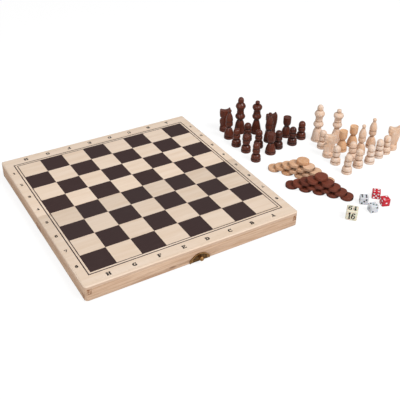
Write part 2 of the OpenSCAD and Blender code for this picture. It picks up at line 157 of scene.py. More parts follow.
class Graph:
    """A node tree under construction."""

    def __init__(self, tree: bpy.types.NodeTree) -> None:
        """Keeps the tree that the nodes go into."""
        self.tree = tree

    def feed(self, socket: bpy.types.NodeSocket, value: "Value | Triple | float") -> None:
        """Links a value to a socket, or sets the socket to a fixed one.

        Args:
            socket: The socket.
            value: What it gets: a link, a number, a colour or a name.
        """
        if isinstance(value, Value):
            self.tree.links.new(value.socket, socket)
        else:
            socket.default_value = (*value, 1.0) if socket.type == "RGBA" else value

    def node(self, kind: str, inputs: dict | None = None, **settings: str) -> bpy.types.Node:
        """Adds a node.

        Args:
            kind: The node's type.
            inputs: Values or links of its sockets, by name or number.
            settings: Its settings, set first.

        Returns:
            The node.
        """
        made = self.tree.nodes.new(kind)
        for name, value in settings.items():
            setattr(made, name, value)
        for name, value in (inputs or {}).items():
            self.feed(made.inputs[name] if isinstance(name, int) else next(
                s for s in made.inputs if s.name == name and s.enabled), value)
        return made

    def out(self, node: bpy.types.Node, name: int | str = 0) -> Value:
        """One output of a node, the first that is in use for number 0."""
        live = [s for s in node.outputs if s.enabled]
        return Value(self, live[name] if isinstance(name, int) else next(s for s in live if s.name == name))

    def result(self, kind: str, inputs: dict | None = None, output: int | str = 0, **settings: str) -> Value:
        """Adds a node and gives one of its outputs.

        Args:
            kind: The node's type.
            inputs: Values or links of its sockets, by name or number.
            output: The output, by name or number.
            settings: The node's settings.

        Returns:
            The output.
        """
        return self.out(self.node(kind, inputs, **settings), output)

    def maths(self, operation: str, *terms: Value | float) -> Value:
        """A Math node's result."""
        return self.result("ShaderNodeMath", dict(enumerate(terms)), operation=operation)

    def vector(self, operation: str, first: Value, second: Triple | Value) -> Value:
        """A Vector Math node's result."""
        return self.result("ShaderNodeVectorMath", {0: first, 1: second}, operation=operation)


class Paint(Graph):
    """One material under construction. Its patterns are in millimetres of the object's own frame."""

    def __init__(self, name: str) -> None:
        """Starts the material with its shader and the place of the shaded point.

        Args:
            name: Name of the material.
        """
        self.material = bpy.data.materials.new(name)
        self.material.use_nodes = True
        super().__init__(self.material.node_tree)
        self.tree.nodes.clear()
        self.shader = self.node("ShaderNodeBsdfPrincipled")
        self.end = self.node("ShaderNodeOutputMaterial", {"Surface": self.out(self.shader)})
        self.at = self.vector("MULTIPLY", self.result("ShaderNodeTexCoord", output="Object"), (1 / MM,) * 3)

    def axes(self) -> list[Value]:
        """The shaded point's x, y and z in millimetres."""
        node = self.node("ShaderNodeSeparateXYZ", {0: self.at})
        return [self.out(node, name) for name in "XYZ"]

    def noise(self, scales: Triple | float, detail: float = 3.0, roughness: float = 0.5,
              shift: float = 0.0) -> Value:
        """Soft noise, stretched by its scales.

        Args:
            scales: Bumps to a millimetre, along each axis or alike along all.
            detail: Octaves of the noise.
            roughness: Strength of the finer octaves.
            shift: Moves the pattern, to make it unlike another.

        Returns:
            The noise, about 0.2 to 0.8.
        """
        scales = scales if isinstance(scales, tuple) else (scales,) * 3
        moved = self.vector("ADD", self.vector("MULTIPLY", self.at, scales), (shift,) * 3)
        return self.result("ShaderNodeTexNoise", {
            "Vector": moved, "Scale": 1.0, "Detail": detail, "Roughness": roughness}, "Fac")

    def blend(self, factor: Value | float, first: Value | Triple, second: Value | Triple) -> Value:
        """A colour from first, at factor 0, to second, at factor 1."""
        return self.result("ShaderNodeMix", {"Factor": factor, "A": first, "B": second}, data_type="RGBA")

    def attribute(self, name: str) -> Value:
        """A number that the piece carries on its own mesh."""
        return self.result("ShaderNodeAttribute", output="Fac", attribute_name=name)

    def relief(self, height: Value, depth: float, strength: float) -> Value:
        """The normal of a surface that rises and falls by depth millimetres."""
        return self.result("ShaderNodeBump", {"Height": height, "Distance": depth * MM, "Strength": strength})

    def finish(self, colour: Value | Triple, roughness: Value | float,
               **others: Value | float) -> bpy.types.Material:
        """Sets the shader's sockets.

        Args:
            colour: Base colour.
            roughness: Roughness.
            others: Further sockets, with underscores for spaces.

        Returns:
            The material.
        """
        for name, value in {"Base Color": colour, "Roughness": roughness, **others}.items():
            self.feed(self.shader.inputs[name.replace("_", " ")], value)
        return self.material


@dataclass(frozen=True)
class PrintedPly:
    """Birch ply printed with the chessboard above and with the backgammon points below."""

    inner_line: float = 128.35
    outer_line: float = 131.9
    inner_half: float = 0.58
    outer_half: float = 0.7
    ink_depth: float = 0.3
    ink_bleed: float = 0.22
    panel: float = 4.0
    points_start: float = 8.6
    points_row: float = 133.0
    points_foot: float = 136.6
    point_long: float = 108.0
    point_wide: float = 0.93
    pale: Triple = tone(236, 216, 197)
    warm: Triple = tone(227, 203, 179)
    speck: Triple = tone(204, 170, 134)
    edge: Triple = tone(206, 170, 144)
    core: Triple = tone(176, 138, 104)
    ink: Triple = tone(61, 45, 44)
    ink_worn: Triple = tone(77, 61, 59)
    red_ink: Triple = tone(150, 82, 55)

    def board(self, paint: Paint) -> Value:
        """Where the top print has ink: the dark squares and the double frame line.

        Args:
            paint: The material under construction.

        Returns:
            1 where there is ink, else 0.
        """
        x, y, z = paint.axes()
        field_end = 4 * SQUARE
        bleed = (paint.noise(1.3, 2.0) - 0.5) * self.ink_bleed
        column, row = (((along + bleed + field_end) / SQUARE).use("FLOOR") for along in (x, y))
        dark = 1.0 - ((column + row) / 2).use("FRACT") * 2
        out = abs(x).use("MAXIMUM", abs(y))
        lines = out.near(self.inner_line, self.inner_half).use(
            "MAXIMUM", out.near(self.outer_line, self.outer_half))
        return (dark * (out < field_end)).use("MAXIMUM", lines) * (z > -self.ink_depth)

    def points(self, paint: Paint) -> tuple[Value, Value]:
        """The print inside the box.

        Args:
            paint: The material under construction.

        Returns:
            Where the points are, and which of them are red.
        """
        x, y, z = paint.axes()
        step = (abs(y) - self.points_start) / (self.points_row / 6)
        rank = step.use("FLOOR")
        aside = abs((step - rank) - 0.5) * 2
        up = (self.points_foot - abs(x)) / self.point_long
        inside = ((aside < (1.0 - up) * self.point_wide) * (up > 0.0) * (step > 0.0) * (step < 6.0)
                  * (z < 0.15 - self.panel))
        red = ((rank + (x > 0.0) + (y > 0.0)) / 2).use("FRACT") * 2
        return inside, red

    def material(self) -> bpy.types.Material:
        """The finish.

        Returns:
            The Blender material.
        """
        paint = Paint("printed_birch_ply")
        x, y, z = paint.axes()
        fibre = paint.noise((0.06, 2.4, 2.4), 4.0, 0.6)
        streak = paint.noise((0.006, 0.14, 0.6), 4.0, 0.55, 7.0)
        wave = paint.noise((0.012, 0.035, 0.3), 2.0, 0.5, 3.0)
        flame = (((y + wave * 70.0) / 4.2 + streak * 1.5).use("SINE") * 0.5 + 0.5).rise(0.35, 1.0)
        fleck = paint.noise((0.22, 1.5, 1.5), 2.0, 0.4, 11.0).rise(0.66, 0.78)
        wood = paint.blend(streak.rise(0.3, 0.72) * 0.75 + flame * 0.22, self.pale, self.warm)
        wood = paint.blend(fleck * 0.30 + fibre.rise(0.5, 0.8) * 0.22, wood, self.speck)
        middle = -self.panel / 2
        wood = paint.blend(z.near(middle - 0.4, 1.45) * 0.6, wood, self.edge)
        layers = paint.noise((1.6, 1.6, 0.5), 3.0, 0.6, 5.0)
        wood = paint.blend(z.near(middle, 0.75) * (layers * 0.3 + 0.05), wood, self.core)
        ink = paint.blend(fibre.rise(0.42, 0.75) * 0.55 + fleck * 0.35, self.ink, self.ink_worn)
        cover = self.board(paint)
        points, red = self.points(paint)
        wood = paint.blend(cover, wood, ink)
        wood = paint.blend(points * 0.93, wood, paint.blend(red, self.ink, self.red_ink))
        return paint.finish(wood, 0.46 + fibre * 0.14 - cover * 0.05,
                            Normal=paint.relief(fibre + fleck * 0.5, 0.03, 0.5), Specular_IOR_Level=0.15)


@dataclass(frozen=True)
class RailWood:
    """Solid rail wood. Its rings lie round a heart outside the case, so the ends show end grain."""

    name: str
    along: Axis
    heart: Triple
    knot: Point | None = None
    ring_gap: float = 2.7
    end_depth: float = 0.4
    pale: Triple = tone(220, 189, 162)
    deep: Triple = tone(184, 147, 118)
    line: Triple = tone(150, 108, 78)
    eye: Triple = tone(122, 80, 54)
    end: Triple = tone(138, 88, 54)

    def material(self) -> bpy.types.Material:
        """The finish.

        Returns:
            The Blender material.
        """
        paint = Paint(self.name)
        x, y, z = paint.axes()
        fibre = paint.noise(self.along.scales(0.07, 2.2), 5.0, 0.62)
        streak = paint.noise(self.along.scales(0.009, 0.22), 4.0, 0.55, 4.0)
        band = paint.noise(self.along.scales(0.004, 0.5), 2.0, 0.5, 9.0)
        mirrored = paint.result("ShaderNodeCombineXYZ", {
            i: at - self.heart[i] for i, at in enumerate((abs(x), abs(y), z))})
        away = paint.result("ShaderNodeVectorMath", {
            0: paint.vector("MULTIPLY", mirrored, self.along.scales(0.0, 1.0))}, "Value", operation="LENGTH")
        reach, knot = away + streak * 13.0, 0.0
        if self.knot:
            off = ((x - self.knot[0]) / 5.5).use("POWER", 2.0) + ((z - self.knot[1]) / 1.6).use("POWER", 2.0)
            bulge, knot = ((off * -fall).use("EXPONENT") * (y < 0.0) for fall in (0.9, 1.7))
            reach = reach + bulge * 5.0
        turn = (reach / self.ring_gap).use("FRACT")
        late = turn.ring(0.25, 0.93)
        share = streak.rise(0.32, 0.68) * 0.55 + late * 0.42 + (band - 0.5) * 0.5
        wood = paint.blend(share, self.pale, self.deep)
        wood = paint.blend(fibre.rise(0.52, 0.78) * 0.40, wood, self.line)
        wood = paint.blend(knot * 0.85, wood, self.eye)
        run, end = ((x, CASE_SIDE), (y, CASE_FRONT))[self.along.value]
        at_fold = (abs(y) < 0.45) * float(self.along is Axis.Y)
        cut = (abs(run) > end - self.end_depth).use("MAXIMUM", at_fold)
        pores = paint.noise(1.6, 3.0, 0.6, 2.0)
        wood = paint.blend(cut * (late * 0.9 + pores * 0.45), wood, self.end)
        return paint.finish(wood, 0.50 + fibre * 0.14, Normal=paint.relief(fibre + late * 0.6, 0.04, 0.6),
                            Specular_IOR_Level=0.25)


@dataclass(frozen=True)
class TurnedWood:
    """Wood of the turned pieces, which carry their own tint from 0, pale, to 1, deep, and painted shade where
    they lie in a hollow.
    """

    name: str
    pale: Triple
    deep: Triple
    line: Triple
    grime: Triple
    rough: float
    coat: float = 0.0
    sheen: float = 0.3

    def material(self) -> bpy.types.Material:
        """The finish.

        Returns:
            The Blender material.
        """
        paint = Paint(self.name)
        x, y, z = paint.axes()
        fibre = paint.noise((2.6, 2.6, 0.16), 4.0, 0.6)
        cloud = paint.noise((0.22, 0.22, 0.05), 3.0, 0.5, 6.0)
        turn = ((x * 0.8 + y * 0.6 + cloud * 9.0) / 2.1).use("FRACT")
        late = turn.ring(0.3, 0.92)
        lathe = (z * 9.0 + cloud * 3.0).use("SINE") * 0.5 + 0.5
        share = paint.attribute("tint") + (cloud - 0.5) * 1.1 + late * 0.30
        wood = paint.blend(share.use("MAXIMUM", 0.0).use("MINIMUM", 1.0), self.pale, self.deep)
        wood = paint.blend(fibre.rise(0.52, 0.78) * 0.45 + late * 0.10, wood, self.line)
        # painted shade: hollow points are darkened towards the painted shade colour
        wood = paint.blend(paint.attribute("hollow") * 0.92, wood, self.grime)
        return paint.finish(wood, fibre * 0.16 + (self.rough - 0.08),
                            Normal=paint.relief(fibre * 0.8 + lathe * 0.35, 0.025, 0.6),
                            Coat_Weight=self.coat, Coat_Roughness=0.12, Specular_IOR_Level=self.sheen)


@dataclass(frozen=True)
class AgedBrass:
    """Brass with a patina, which gives way to bright metal from low to high, counted from the fold."""

    name: str
    bright: Triple = tone(190, 146, 94)
    patina: Triple = tone(84, 58, 30)
    scratched: Triple = tone(226, 196, 138)
    low: float = CASE_FRONT + 0.85
    high: float = CASE_FRONT + 1.4
    wear: float = 0.55

    def material(self) -> bpy.types.Material:
        """The finish.

        Returns:
            The Blender material.
        """
        paint = Paint(self.name)
        y = paint.axes()[1]
        blotch = paint.noise(0.55, 4.0, 0.6)
        scratch = paint.noise((0.9, 6.0, 6.0), 2.0, 0.6, 3.0)
        share = abs(y).rise(self.low, self.high) * self.wear + blotch.rise(0.35, 0.7) * (0.95 - self.wear)
        metal = paint.blend(share, self.patina, self.bright)
        metal = paint.blend(scratch.rise(0.6, 0.8) * 0.3, metal, self.scratched)
        return paint.finish(metal, 0.44 - share * 0.16 + scratch * 0.1,
                            Normal=paint.relief(blotch + scratch * 0.3, 0.02, 0.6), Metallic=1.0)


@dataclass(frozen=True)
class Plastic:
    """Moulded plastic or paint with a faint mottle and fine handling marks."""

    name: str
    colour: Triple
    shade: Triple
    rough: float = 0.22
    glow: float = 0.0

    def material(self) -> bpy.types.Material:
        """The finish.

        Returns:
            The Blender material.
        """
        paint = Paint(self.name)
        cloud = paint.noise(0.35)
        marks = paint.noise(3.0, 3.0, 0.6, 8.0)
        colour = paint.blend(cloud.rise(0.3, 0.7) * 0.7 + marks * 0.15, self.colour, self.shade)
        return paint.finish(colour, self.rough - 0.05 + marks * 0.1, Normal=paint.relief(marks, 0.012, 0.4),
                            Subsurface_Weight=self.glow, Subsurface_Scale=0.8 * MM)


PLY = PrintedPly()
LONG_RAIL = RailWood("rail_wood_along_x", Axis.X, (0.0, 182.0, -31.0), (-36.6, -15.7))
SIDE_RAIL = RailWood("rail_wood_along_y", Axis.Y, (176.0, 0.0, 16.0), pale=tone(218, 186, 158),
                     deep=tone(180, 144, 115))
# The fourth colour of each turned wood is painted shade for its grooves and for the gaps between discs.
LIGHT_WOOD = TurnedWood("pale_turned_wood", tone(238, 220, 207), tone(228, 181, 138), tone(206, 170, 142),
                        tone(170, 126, 92), 0.46, 0.05)
DARK_WOOD = TurnedWood("red_brown_lacquered_wood", tone(48, 21, 15), tone(106, 52, 36), tone(30, 12, 9),
                       tone(12, 5, 4), 0.3, 0.15)
DARK_DISC = TurnedWood("red_brown_satin_wood", tone(98, 48, 36), tone(128, 66, 48), tone(74, 34, 26),
                       tone(26, 10, 8), 0.46, sheen=0.2)
LIGHT_DISC = TurnedWood("honey_disc_wood", tone(232, 198, 170), tone(210, 152, 104), tone(190, 134, 92),
                        tone(84, 50, 30), 0.46)
HINGE_BRASS = AgedBrass("hinge_brass", tone(206, 172, 108), tone(150, 116, 62), low=-1.0, high=7.0)
CLASP_BRASS = AgedBrass("clasp_brass")
WHITE = Plastic("white_plastic", tone(222, 224, 228), tone(208, 211, 217), glow=0.1)
RED = Plastic("red_plastic", tone(214, 28, 50), tone(186, 14, 38), glow=0.05)
IVORY = Plastic("ivory_plastic", tone(236, 230, 208), tone(224, 214, 186), 0.34, 0.12)
BLACK_PAINT = Plastic("black_paint", tone(22, 22, 26), tone(34, 33, 38), 0.35)
WHITE_PAINT = Plastic("white_paint", tone(250, 250, 250), tone(236, 238, 240), 0.4)
LETTER_INK = Plastic("letter_ink", tone(34, 24, 23), tone(52, 40, 37), 0.6)


def spun(degrees: float, axis: str = "Z") -> Matrix:
    """A turn about an axis."""
    return Matrix.Rotation(math.radians(degrees), 4, axis)


def added(shell: Shell, points: list[Vector], faces: list) -> None:
    """Adds to a shell. The faces count on from the points that it has.

    Args:
        shell: The shell.
        points: The points that are added.
        faces: The faces, as point numbers that start at 0.
    """
    start = len(shell[0])
    shell[0].extend(points)
    shell[1].extend([i + start for i in face] for face in faces)


def smoothed(mesh: bpy.types.Mesh, crease: float) -> None:
    """Makes a mesh smooth, but for the edges that are sharper than crease, in degrees."""
    mesh.polygons.foreach_set("use_smooth", [True] * len(mesh.polygons))
    mesh.set_sharp_from_angle(angle=math.radians(crease))


def places_of(mesh: bpy.types.Mesh) -> np.ndarray:
    """Where a mesh's points are.

    Args:
        mesh: The mesh.

    Returns:
        Their x, y and z in millimetres, as three rows.
    """
    spots = np.zeros(len(mesh.vertices) * 3)
    mesh.vertices.foreach_get("co", spots)
    return spots.reshape(-1, 3).T / MM


def placed(data: bpy.types.ID, name: str) -> bpy.types.Object:
    """Puts a new object in the scene.

    Args:
        data: Its mesh, lamp or camera.
        name: Its name.

    Returns:
        The object.
    """
    made = bpy.data.objects.new(name, data)
    bpy.context.scene.collection.objects.link(made)
    return made


def joined(points: list[Vector], faces: list, name: str, material: bpy.types.Material | None = None,
           crease: float = CREASE) -> bpy.types.Object:
    """Makes an object in its place, with smooth faces and creased corners.

    Args:
        points: Points in millimetres.
        faces: Faces as lists of point numbers.
        name: Name of the object.
        material: Its material.
        crease: Corner angle in degrees from which an edge is sharp.

    Returns:
        The object.
    """
    mesh = bpy.data.meshes.new(name)
    mesh.from_pydata([tuple(c * MM for c in p) for p in points], [], [tuple(f) for f in faces])
    mesh.update()
    smoothed(mesh, crease)
    if material:
        mesh.materials.append(material)
    return placed(mesh, name)


def as_piece(shape: bmesh.types.BMesh, name: str) -> bpy.types.Object:
    """Makes an object of a shape.

    Args:
        shape: The shape, which is used up.
        name: Name of the object.

    Returns:
        The object.
    """
    mesh = bpy.data.meshes.new(name)
    shape.to_mesh(mesh)
    shape.free()
    return placed(mesh, name)


def settled(source: bpy.types.Object, name: str) -> bpy.types.Object:
    """Turns an object with modifiers into a plain mesh object, and removes the first.

    Args:
        source: The object with its modifiers.
        name: Name of the plain object.

    Returns:
        The plain object, at the origin.
    """
    bpy.context.view_layer.update()
    graph = bpy.context.evaluated_depsgraph_get()
    mesh = bpy.data.meshes.new_from_object(source.evaluated_get(graph), depsgraph=graph)
    bpy.data.objects.remove(source)
    mesh.name = name
    return placed(mesh, name)


def hollowed(blank: bpy.types.Object, cutter: bpy.types.Object, name: str, crease: float) -> bpy.types.Object:
    """Cuts one closed piece out of another. Both are used up, and the cut faces keep the cutter's finish.

    Args:
        blank: The piece that is cut.
        cutter: What is cut out of it.
        name: Name of the result.
        crease: Corner angle in degrees from which an edge is sharp.

    Returns:
        The result as a plain mesh.
    """
    cut = blank.modifiers.new("cut", "BOOLEAN")
    cut.operation, cut.object, cut.solver, cut.material_mode = "DIFFERENCE", cutter, "EXACT", "TRANSFER"
    made = settled(blank, name)
    bpy.data.objects.remove(cutter)
    smoothed(made.data, crease)
    return made


def fit(piece: bpy.types.Object, body: str, slot: str, *nodes: str) -> None:
    """Lets a finished piece ride on its body and stand for CAD nodes.

    Args:
        piece: The finished piece.
        body: The body it moves with.
        slot: The material slot of its finish; not used.
        nodes: The nodes that it stands for.
    """
    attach(piece, body)
    if nodes:
        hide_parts(*nodes)
    LOG.info("%s rides on %s, %d faces", piece.name, body, len(piece.data.polygons))


def dressed(node: str, ease: float, material: bpy.types.Material, body: str, slot: str) -> None:
    """Dresses a CAD node in a copy with its sharp edges eased, as sanding or tumbling leaves them.

    Args:
        node: Name of the CAD node.
        ease: Width of the eased edge in millimetres.
        material: Its finish.
        body: The body it moves with.
        slot: The material slot of its finish.
    """
    shape = bmesh.new()
    shape.from_mesh(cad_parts[node].data)
    bmesh.ops.remove_doubles(shape, verts=shape.verts, dist=WELD * MM)
    bmesh.ops.dissolve_limit(shape, angle_limit=math.radians(FLAT_ANGLE), verts=shape.verts,
                             edges=shape.edges)
    rough = as_piece(shape, "rough_" + node)
    bevel = rough.modifiers.new("ease", "BEVEL")
    bevel.width, bevel.segments, bevel.limit_method = ease * MM, 2, "ANGLE"
    bevel.angle_limit = math.radians(EDGE_ANGLE)
    piece = settled(rough, node + "_dressed")
    smoothed(piece.data, CREASE)
    piece.data.materials.clear()
    piece.data.materials.append(material)
    fit(piece, body, slot, node)


def between(a: Spatial, b: Spatial, c: Spatial, d: Spatial, share: float) -> Spatial:
    """The point a share of the way from b to c on a smooth line through all four."""
    return 0.5 * (2 * b + (c - a) * share + (2 * a - 5 * b + 4 * c - d) * share * share
                  + (3 * b - a - 3 * c + d) * share ** 3)


def flowing(knots: list[Point | None], steps: int = 4) -> list[Point]:
    """A smooth line through knots. None after a knot makes it a corner.

    Args:
        knots: The knots in order.
        steps: Points from one knot to the next.

    Returns:
        The points of the line.
    """
    runs, run = [], []
    for knot in knots:
        if knot is None:
            runs.append(run)
            run = [run[-1]]
        else:
            run.append(knot)
    runs.append(run)
    line = [runs[0][0]]
    for run in runs:
        padded = [Vector(p) for p in (run[0], *run, run[-1])]
        count = 1 if len(run) == 2 else steps
        for i in range(len(padded) - 3):
            for k in range(1, count + 1):
                spot = between(*padded[i:i + 4], k / count)
                line.append((max(spot.x, 0.0), spot.y))
    return line


def turned(line: list[Point], segments: int = 40) -> Shell:
    """Points and faces of a turned solid, closed at both ends.

    Args:
        line: Radius and height in millimetres, from the foot up.
        segments: Faces round it.

    Returns:
        Its points and its faces.
    """
    whole = [(0.0, line[0][1]), *line]
    if whole[-1][0] > 1e-4:
        whole.append((0.0, whole[-1][1]))
    points, faces, rings = [], [], []
    for radius, height in whole:
        count = 1 if radius < 1e-4 else segments
        rings.append(range(len(points), len(points) + count))
        for k in range(count):
            angle = math.tau * k / segments
            points.append(Vector((radius * math.cos(angle), radius * math.sin(angle), height)))
    for low, high in zip(rings, rings[1:]):
        for k in range(segments):
            after = (k + 1) % segments
            if len(low) == 1 and len(high) > 1:
                faces.append((low[0], high[after], high[k]))
            elif len(high) == 1 and len(low) > 1:
                faces.append((low[k], low[after], high[0]))
            elif len(low) > 1:
                faces.append((low[k], low[after], high[after], high[k]))
    return points, faces


def noted(mesh: bpy.types.Mesh, depths: list[float] | np.ndarray) -> None:
    """Notes on a mesh how deep each of its points lies in a hollow, from 0 to 1; its material paints shade
    there.
    """
    mesh.attributes.new("hollow", "FLOAT", "POINT").data.foreach_set("value", depths)


def grimed(piece: bpy.types.Object, line: list[Point], reach: float = 1.7, depth: float = 0.45) -> None:
    """Notes on a turned piece how deep each of its points lies in a groove, where its material paints shade.
    Its foot and its tip have none.

    Args:
        piece: The turned piece, its axis upright at the origin.
        line: Radius and height along it, in millimetres.
        reach: How far above and below a groove's sides are looked for.
        depth: Depth of a groove that is noted in full.
    """
    radii, heights = (np.array(axis) for axis in zip(*sorted(line, key=lambda p: p[1])))
    x, y, z = places_of(piece.data)
    deep = []
    for radius, height in zip(np.hypot(x, y), z):
        below = radii[(heights < height) & (heights > height - reach)]
        above = radii[(heights > height) & (heights < height + reach)]
        walls = min(below.max(initial=0), above.max(initial=0))
        bare = height <= 0.5 or height >= heights[-1] - 1.5
        deep.append(0.0 if bare else min(max((walls - radius) / depth, 0.0), 1.0))
    noted(piece.data, deep)


@dataclass(frozen=True)
class Spot:
    """Where one copy of a piece stands, in millimetres, and how it is turned, in degrees."""

    at: Triple
    turn: Triple = (0.0, 0.0, 0.0)


class Layout(Graph):
    """A Geometry Nodes tree under construction, with named inputs."""

    def __init__(self, name: str, inputs: dict[str, str]) -> None:
        """Starts a tree.

        Args:
            name: Name of the tree.
            inputs: Its inputs, each a name and a socket type.
        """
        super().__init__(bpy.data.node_groups.new(name, "GeometryNodeTree"))
        face = self.tree.interface
        face.new_socket("Geometry", in_out="OUTPUT", socket_type="NodeSocketGeometry")
        self.names = {}
        for title, kind in {"Geometry": "Geometry", **inputs}.items():
            socket = face.new_socket(title, in_out="INPUT", socket_type="NodeSocket" + kind)
            self.names[title] = socket.identifier
        self.start = self.node("NodeGroupInput")

    def given(self, title: str) -> Value:
        """One of the tree's own inputs."""
        return self.out(self.start, title)

    def chance(self, kind: str, low: Value | float | Triple, high: Value | float | Triple) -> Value:
        """Random values from low to high, drawn with the tree's Seed."""
        return self.result("FunctionNodeRandomValue", {"Min": low, "Max": high, "Seed": self.given("Seed")},
                           data_type=kind)

    def copies(self, points: Value, rotation: Value, low: Value | float, high: Value | float) -> None:
        """Ends the tree: a copy of the Piece on each point, with a random tint, made real, in its Material.

        Args:
            points: Where the copies stand.
            rotation: How they are turned.
            low: Lowest tint.
            high: Highest tint.
        """
        stood = self.result("GeometryNodeInstanceOnPoints", {
            "Points": points, "Rotation": self.result("FunctionNodeEulerToRotation", {"Euler": rotation}),
            "Instance": self.result("GeometryNodeObjectInfo", {"Object": self.given("Piece")}, "Geometry")})
        tinted = self.result("GeometryNodeStoreNamedAttribute", {
            "Geometry": stood, "Name": "tint", "Value": self.chance("FLOAT", low, high)},
            data_type="FLOAT", domain="INSTANCE")
        real = self.result("GeometryNodeRealizeInstances", {"Geometry": tinted})
        self.node("NodeGroupOutput", {0: self.result("GeometryNodeSetMaterial", {
            "Geometry": real, "Material": self.given("Material")})})

    def run(self, base: bpy.types.Object, name: str, settings: dict) -> bpy.types.Object:
        """Runs the tree on an object and keeps the result as a plain mesh.

        Args:
            base: The object that carries the modifier. It is used up.
            name: Name of the result.
            settings: Values of the inputs, by name.

        Returns:
            The plain object.
        """
        modifier = base.modifiers.new("layout", "NODES")
        modifier.node_group = self.tree
        for title, value in settings.items():
            modifier[self.names[title]] = value
        return settled(base, name)


class SetOut:
    """Stands copies of one piece on chosen spots."""

    def __init__(self) -> None:
        """Builds the tree once for all sets."""
        lay = self.layout = Layout("set_out", {"Piece": "Object", "Material": "Material", "Low Tint": "Float",
                                               "High Tint": "Float", "Seed": "Int"})
        turn = lay.result("GeometryNodeInputNamedAttribute", {"Name": "turn"}, data_type="FLOAT_VECTOR")
        lay.copies(lay.given("Geometry"), turn, lay.given("Low Tint"), lay.given("High Tint"))

    def place(self, name: str, piece: bpy.types.Object, spots: list[Spot], material: bpy.types.Material,
              tint: Point = (0.2, 0.5), seed: int = 1) -> bpy.types.Object:
        """Stands the copies.

        Args:
            name: Name of the set.
            piece: The piece that is copied.
            spots: Where the copies stand.
            material: Their finish.
            tint: Lowest and highest tint.
            seed: Seed of the tints.

        Returns:
            One plain mesh object with all the copies.
        """
        base = joined([s.at for s in spots], [], name + "_spots")
        turns = base.data.attributes.new("turn", "FLOAT_VECTOR", "POINT")
        turns.data.foreach_set("vector", [math.radians(a) for s in spots for a in s.turn])
        return self.layout.run(base, name, {"Piece": piece, "Material": material, "Low Tint": tint[0],
                                            "High Tint": tint[1], "Seed": seed})


@dataclass
class BrickWall:
    """Discs stacked like bricks, each row one disc shorter than the row below."""

    rows: int = 5
    step: float = 19.6
    layer: float = 5.04
    top_back: float = 3.5
    radius: float = 9.0
    thick: float = 5.0
    layout: Layout = field(init=False)

    def __post_init__(self) -> None:
        """Builds the tree: numbered points, cut to a triangle and raised row by row."""
        lay = self.layout = Layout("brick_wall", {
            "Rows": "Int", "Step": "Float", "Layer": "Float", "Top Back": "Float", "Place": "Vector",
            "Angle": "Float", "Piece": "Object", "Material": "Material", "Seed": "Int"})
        rows = lay.given("Rows")
        number = lay.result("GeometryNodeInputIndex")
        row = ((number + 0.5) / rows).use("FLOOR")
        column = number - row * rows
        loose = lay.chance("FLOAT_VECTOR", (-0.25 * MM, -0.3 * MM, 0), (0.25 * MM, 0.3 * MM, 0))
        spot = lay.vector("ADD", lay.result("ShaderNodeCombineXYZ", {
            0: (column - (rows - 1.0 - row) / 2) * lay.given("Step"),
            1: (row > rows - 1.5) * lay.given("Top Back"), 2: row * lay.given("Layer")}), loose)
        cloud = lay.result("GeometryNodeSetPosition", {
            "Geometry": lay.result("GeometryNodePoints", {"Count": rows * rows}), "Position": spot})
        whole = lay.result("GeometryNodeDeleteGeometry", {
            "Geometry": cloud, "Selection": (column + row) > (rows - 0.5)}, domain="POINT")
        moved = lay.result("GeometryNodeTransform", {
            "Geometry": whole, "Translation": lay.given("Place"),
            "Rotation": lay.result("ShaderNodeCombineXYZ", {2: lay.given("Angle")})})
        lay.copies(moved, lay.chance("FLOAT_VECTOR", (0, 0, 0), (0, 0, math.tau)), 0.05, 0.75)

    def disc(self) -> bpy.types.Object:
        """One draughtsman: flat faces, a softly rounded edge and a faint turned ring.

        Returns:
            The disc at the origin, to be copied.
        """
        r, t = self.radius, self.thick
        line = flowing([
            (r - 0.9, 0), (r - 0.35, 0.14), (r, 0.75), (r, t / 2), (r, t - 0.75), (r - 0.35, t - 0.14),
            (r - 0.9, t), None, (0.74 * r, t), None, (0.72 * r, t - 0.07), None, (0.70 * r, t)], 3)
        return joined(*turned(line, 48), "disc", crease=40)

    def build(self, name: str, place: Point, angle: float, loose: float, finish: TurnedWood,
              seed: int) -> bpy.types.Object:
        """One wall of draughtsmen.

        Args:
            name: Name of the wall.
            place: Middle of its lowest row, from the middle of the case's right side.
            angle: Its turn in degrees.
            loose: How much further apart than usual its discs lie.
            finish: Its wood.
            seed: Seed of the discs' turns and tints.

        Returns:
            The wall as a plain mesh.
        """
        disc = self.disc()
        base = joined([Vector()], [], name + "_base")
        wall = self.layout.run(base, name, {
            "Rows": self.rows, "Step": (self.step + loose) * MM, "Layer": self.layer * MM,
            "Top Back": self.top_back * MM, "Angle": math.radians(angle),
            "Place": ((CASE_SIDE + place[0]) * MM, place[1] * MM, GROUND * MM),
            "Piece": disc, "Material": finish.material(), "Seed": seed})
        bpy.data.objects.remove(disc)
        self.soil(wall.data, place, math.radians(angle))
        return wall

    def soil(self, wall: bpy.types.Mesh, place: Point, angle: float) -> None:
        """Notes how much of each point is hidden between neighbouring discs, from 0 to 1, as painted shade in
        the gaps and towards the foot of each disc's rim.

        Args:
            wall: The finished wall's mesh.
            place: Middle of its lowest row, from the middle of the case's right side.
            angle: Its turn in radians.
        """
        x, y, z = places_of(wall)
        across = (y - place[1]) * math.cos(angle) - (x - CASE_SIDE - place[0]) * math.sin(angle)
        covered = z < GROUND + (self.rows - 1) * self.layer
        # painted shade on the sides of the discs that face their neighbours
        inner = np.clip(1.1 - (across / self.radius) ** 2 * 1.5, 0, 1) * covered
        share = ((z - GROUND) % self.layer) / self.thick
        rim = (share > 0.02) & (share < 0.96)
        # painted shade that deepens towards the foot of each disc's rim
        low = np.clip(0.5 - share, 0, 1) * 0.8
        noted(wall, np.where(rim, np.maximum(inner, low), inner * (share <= 0.02)))


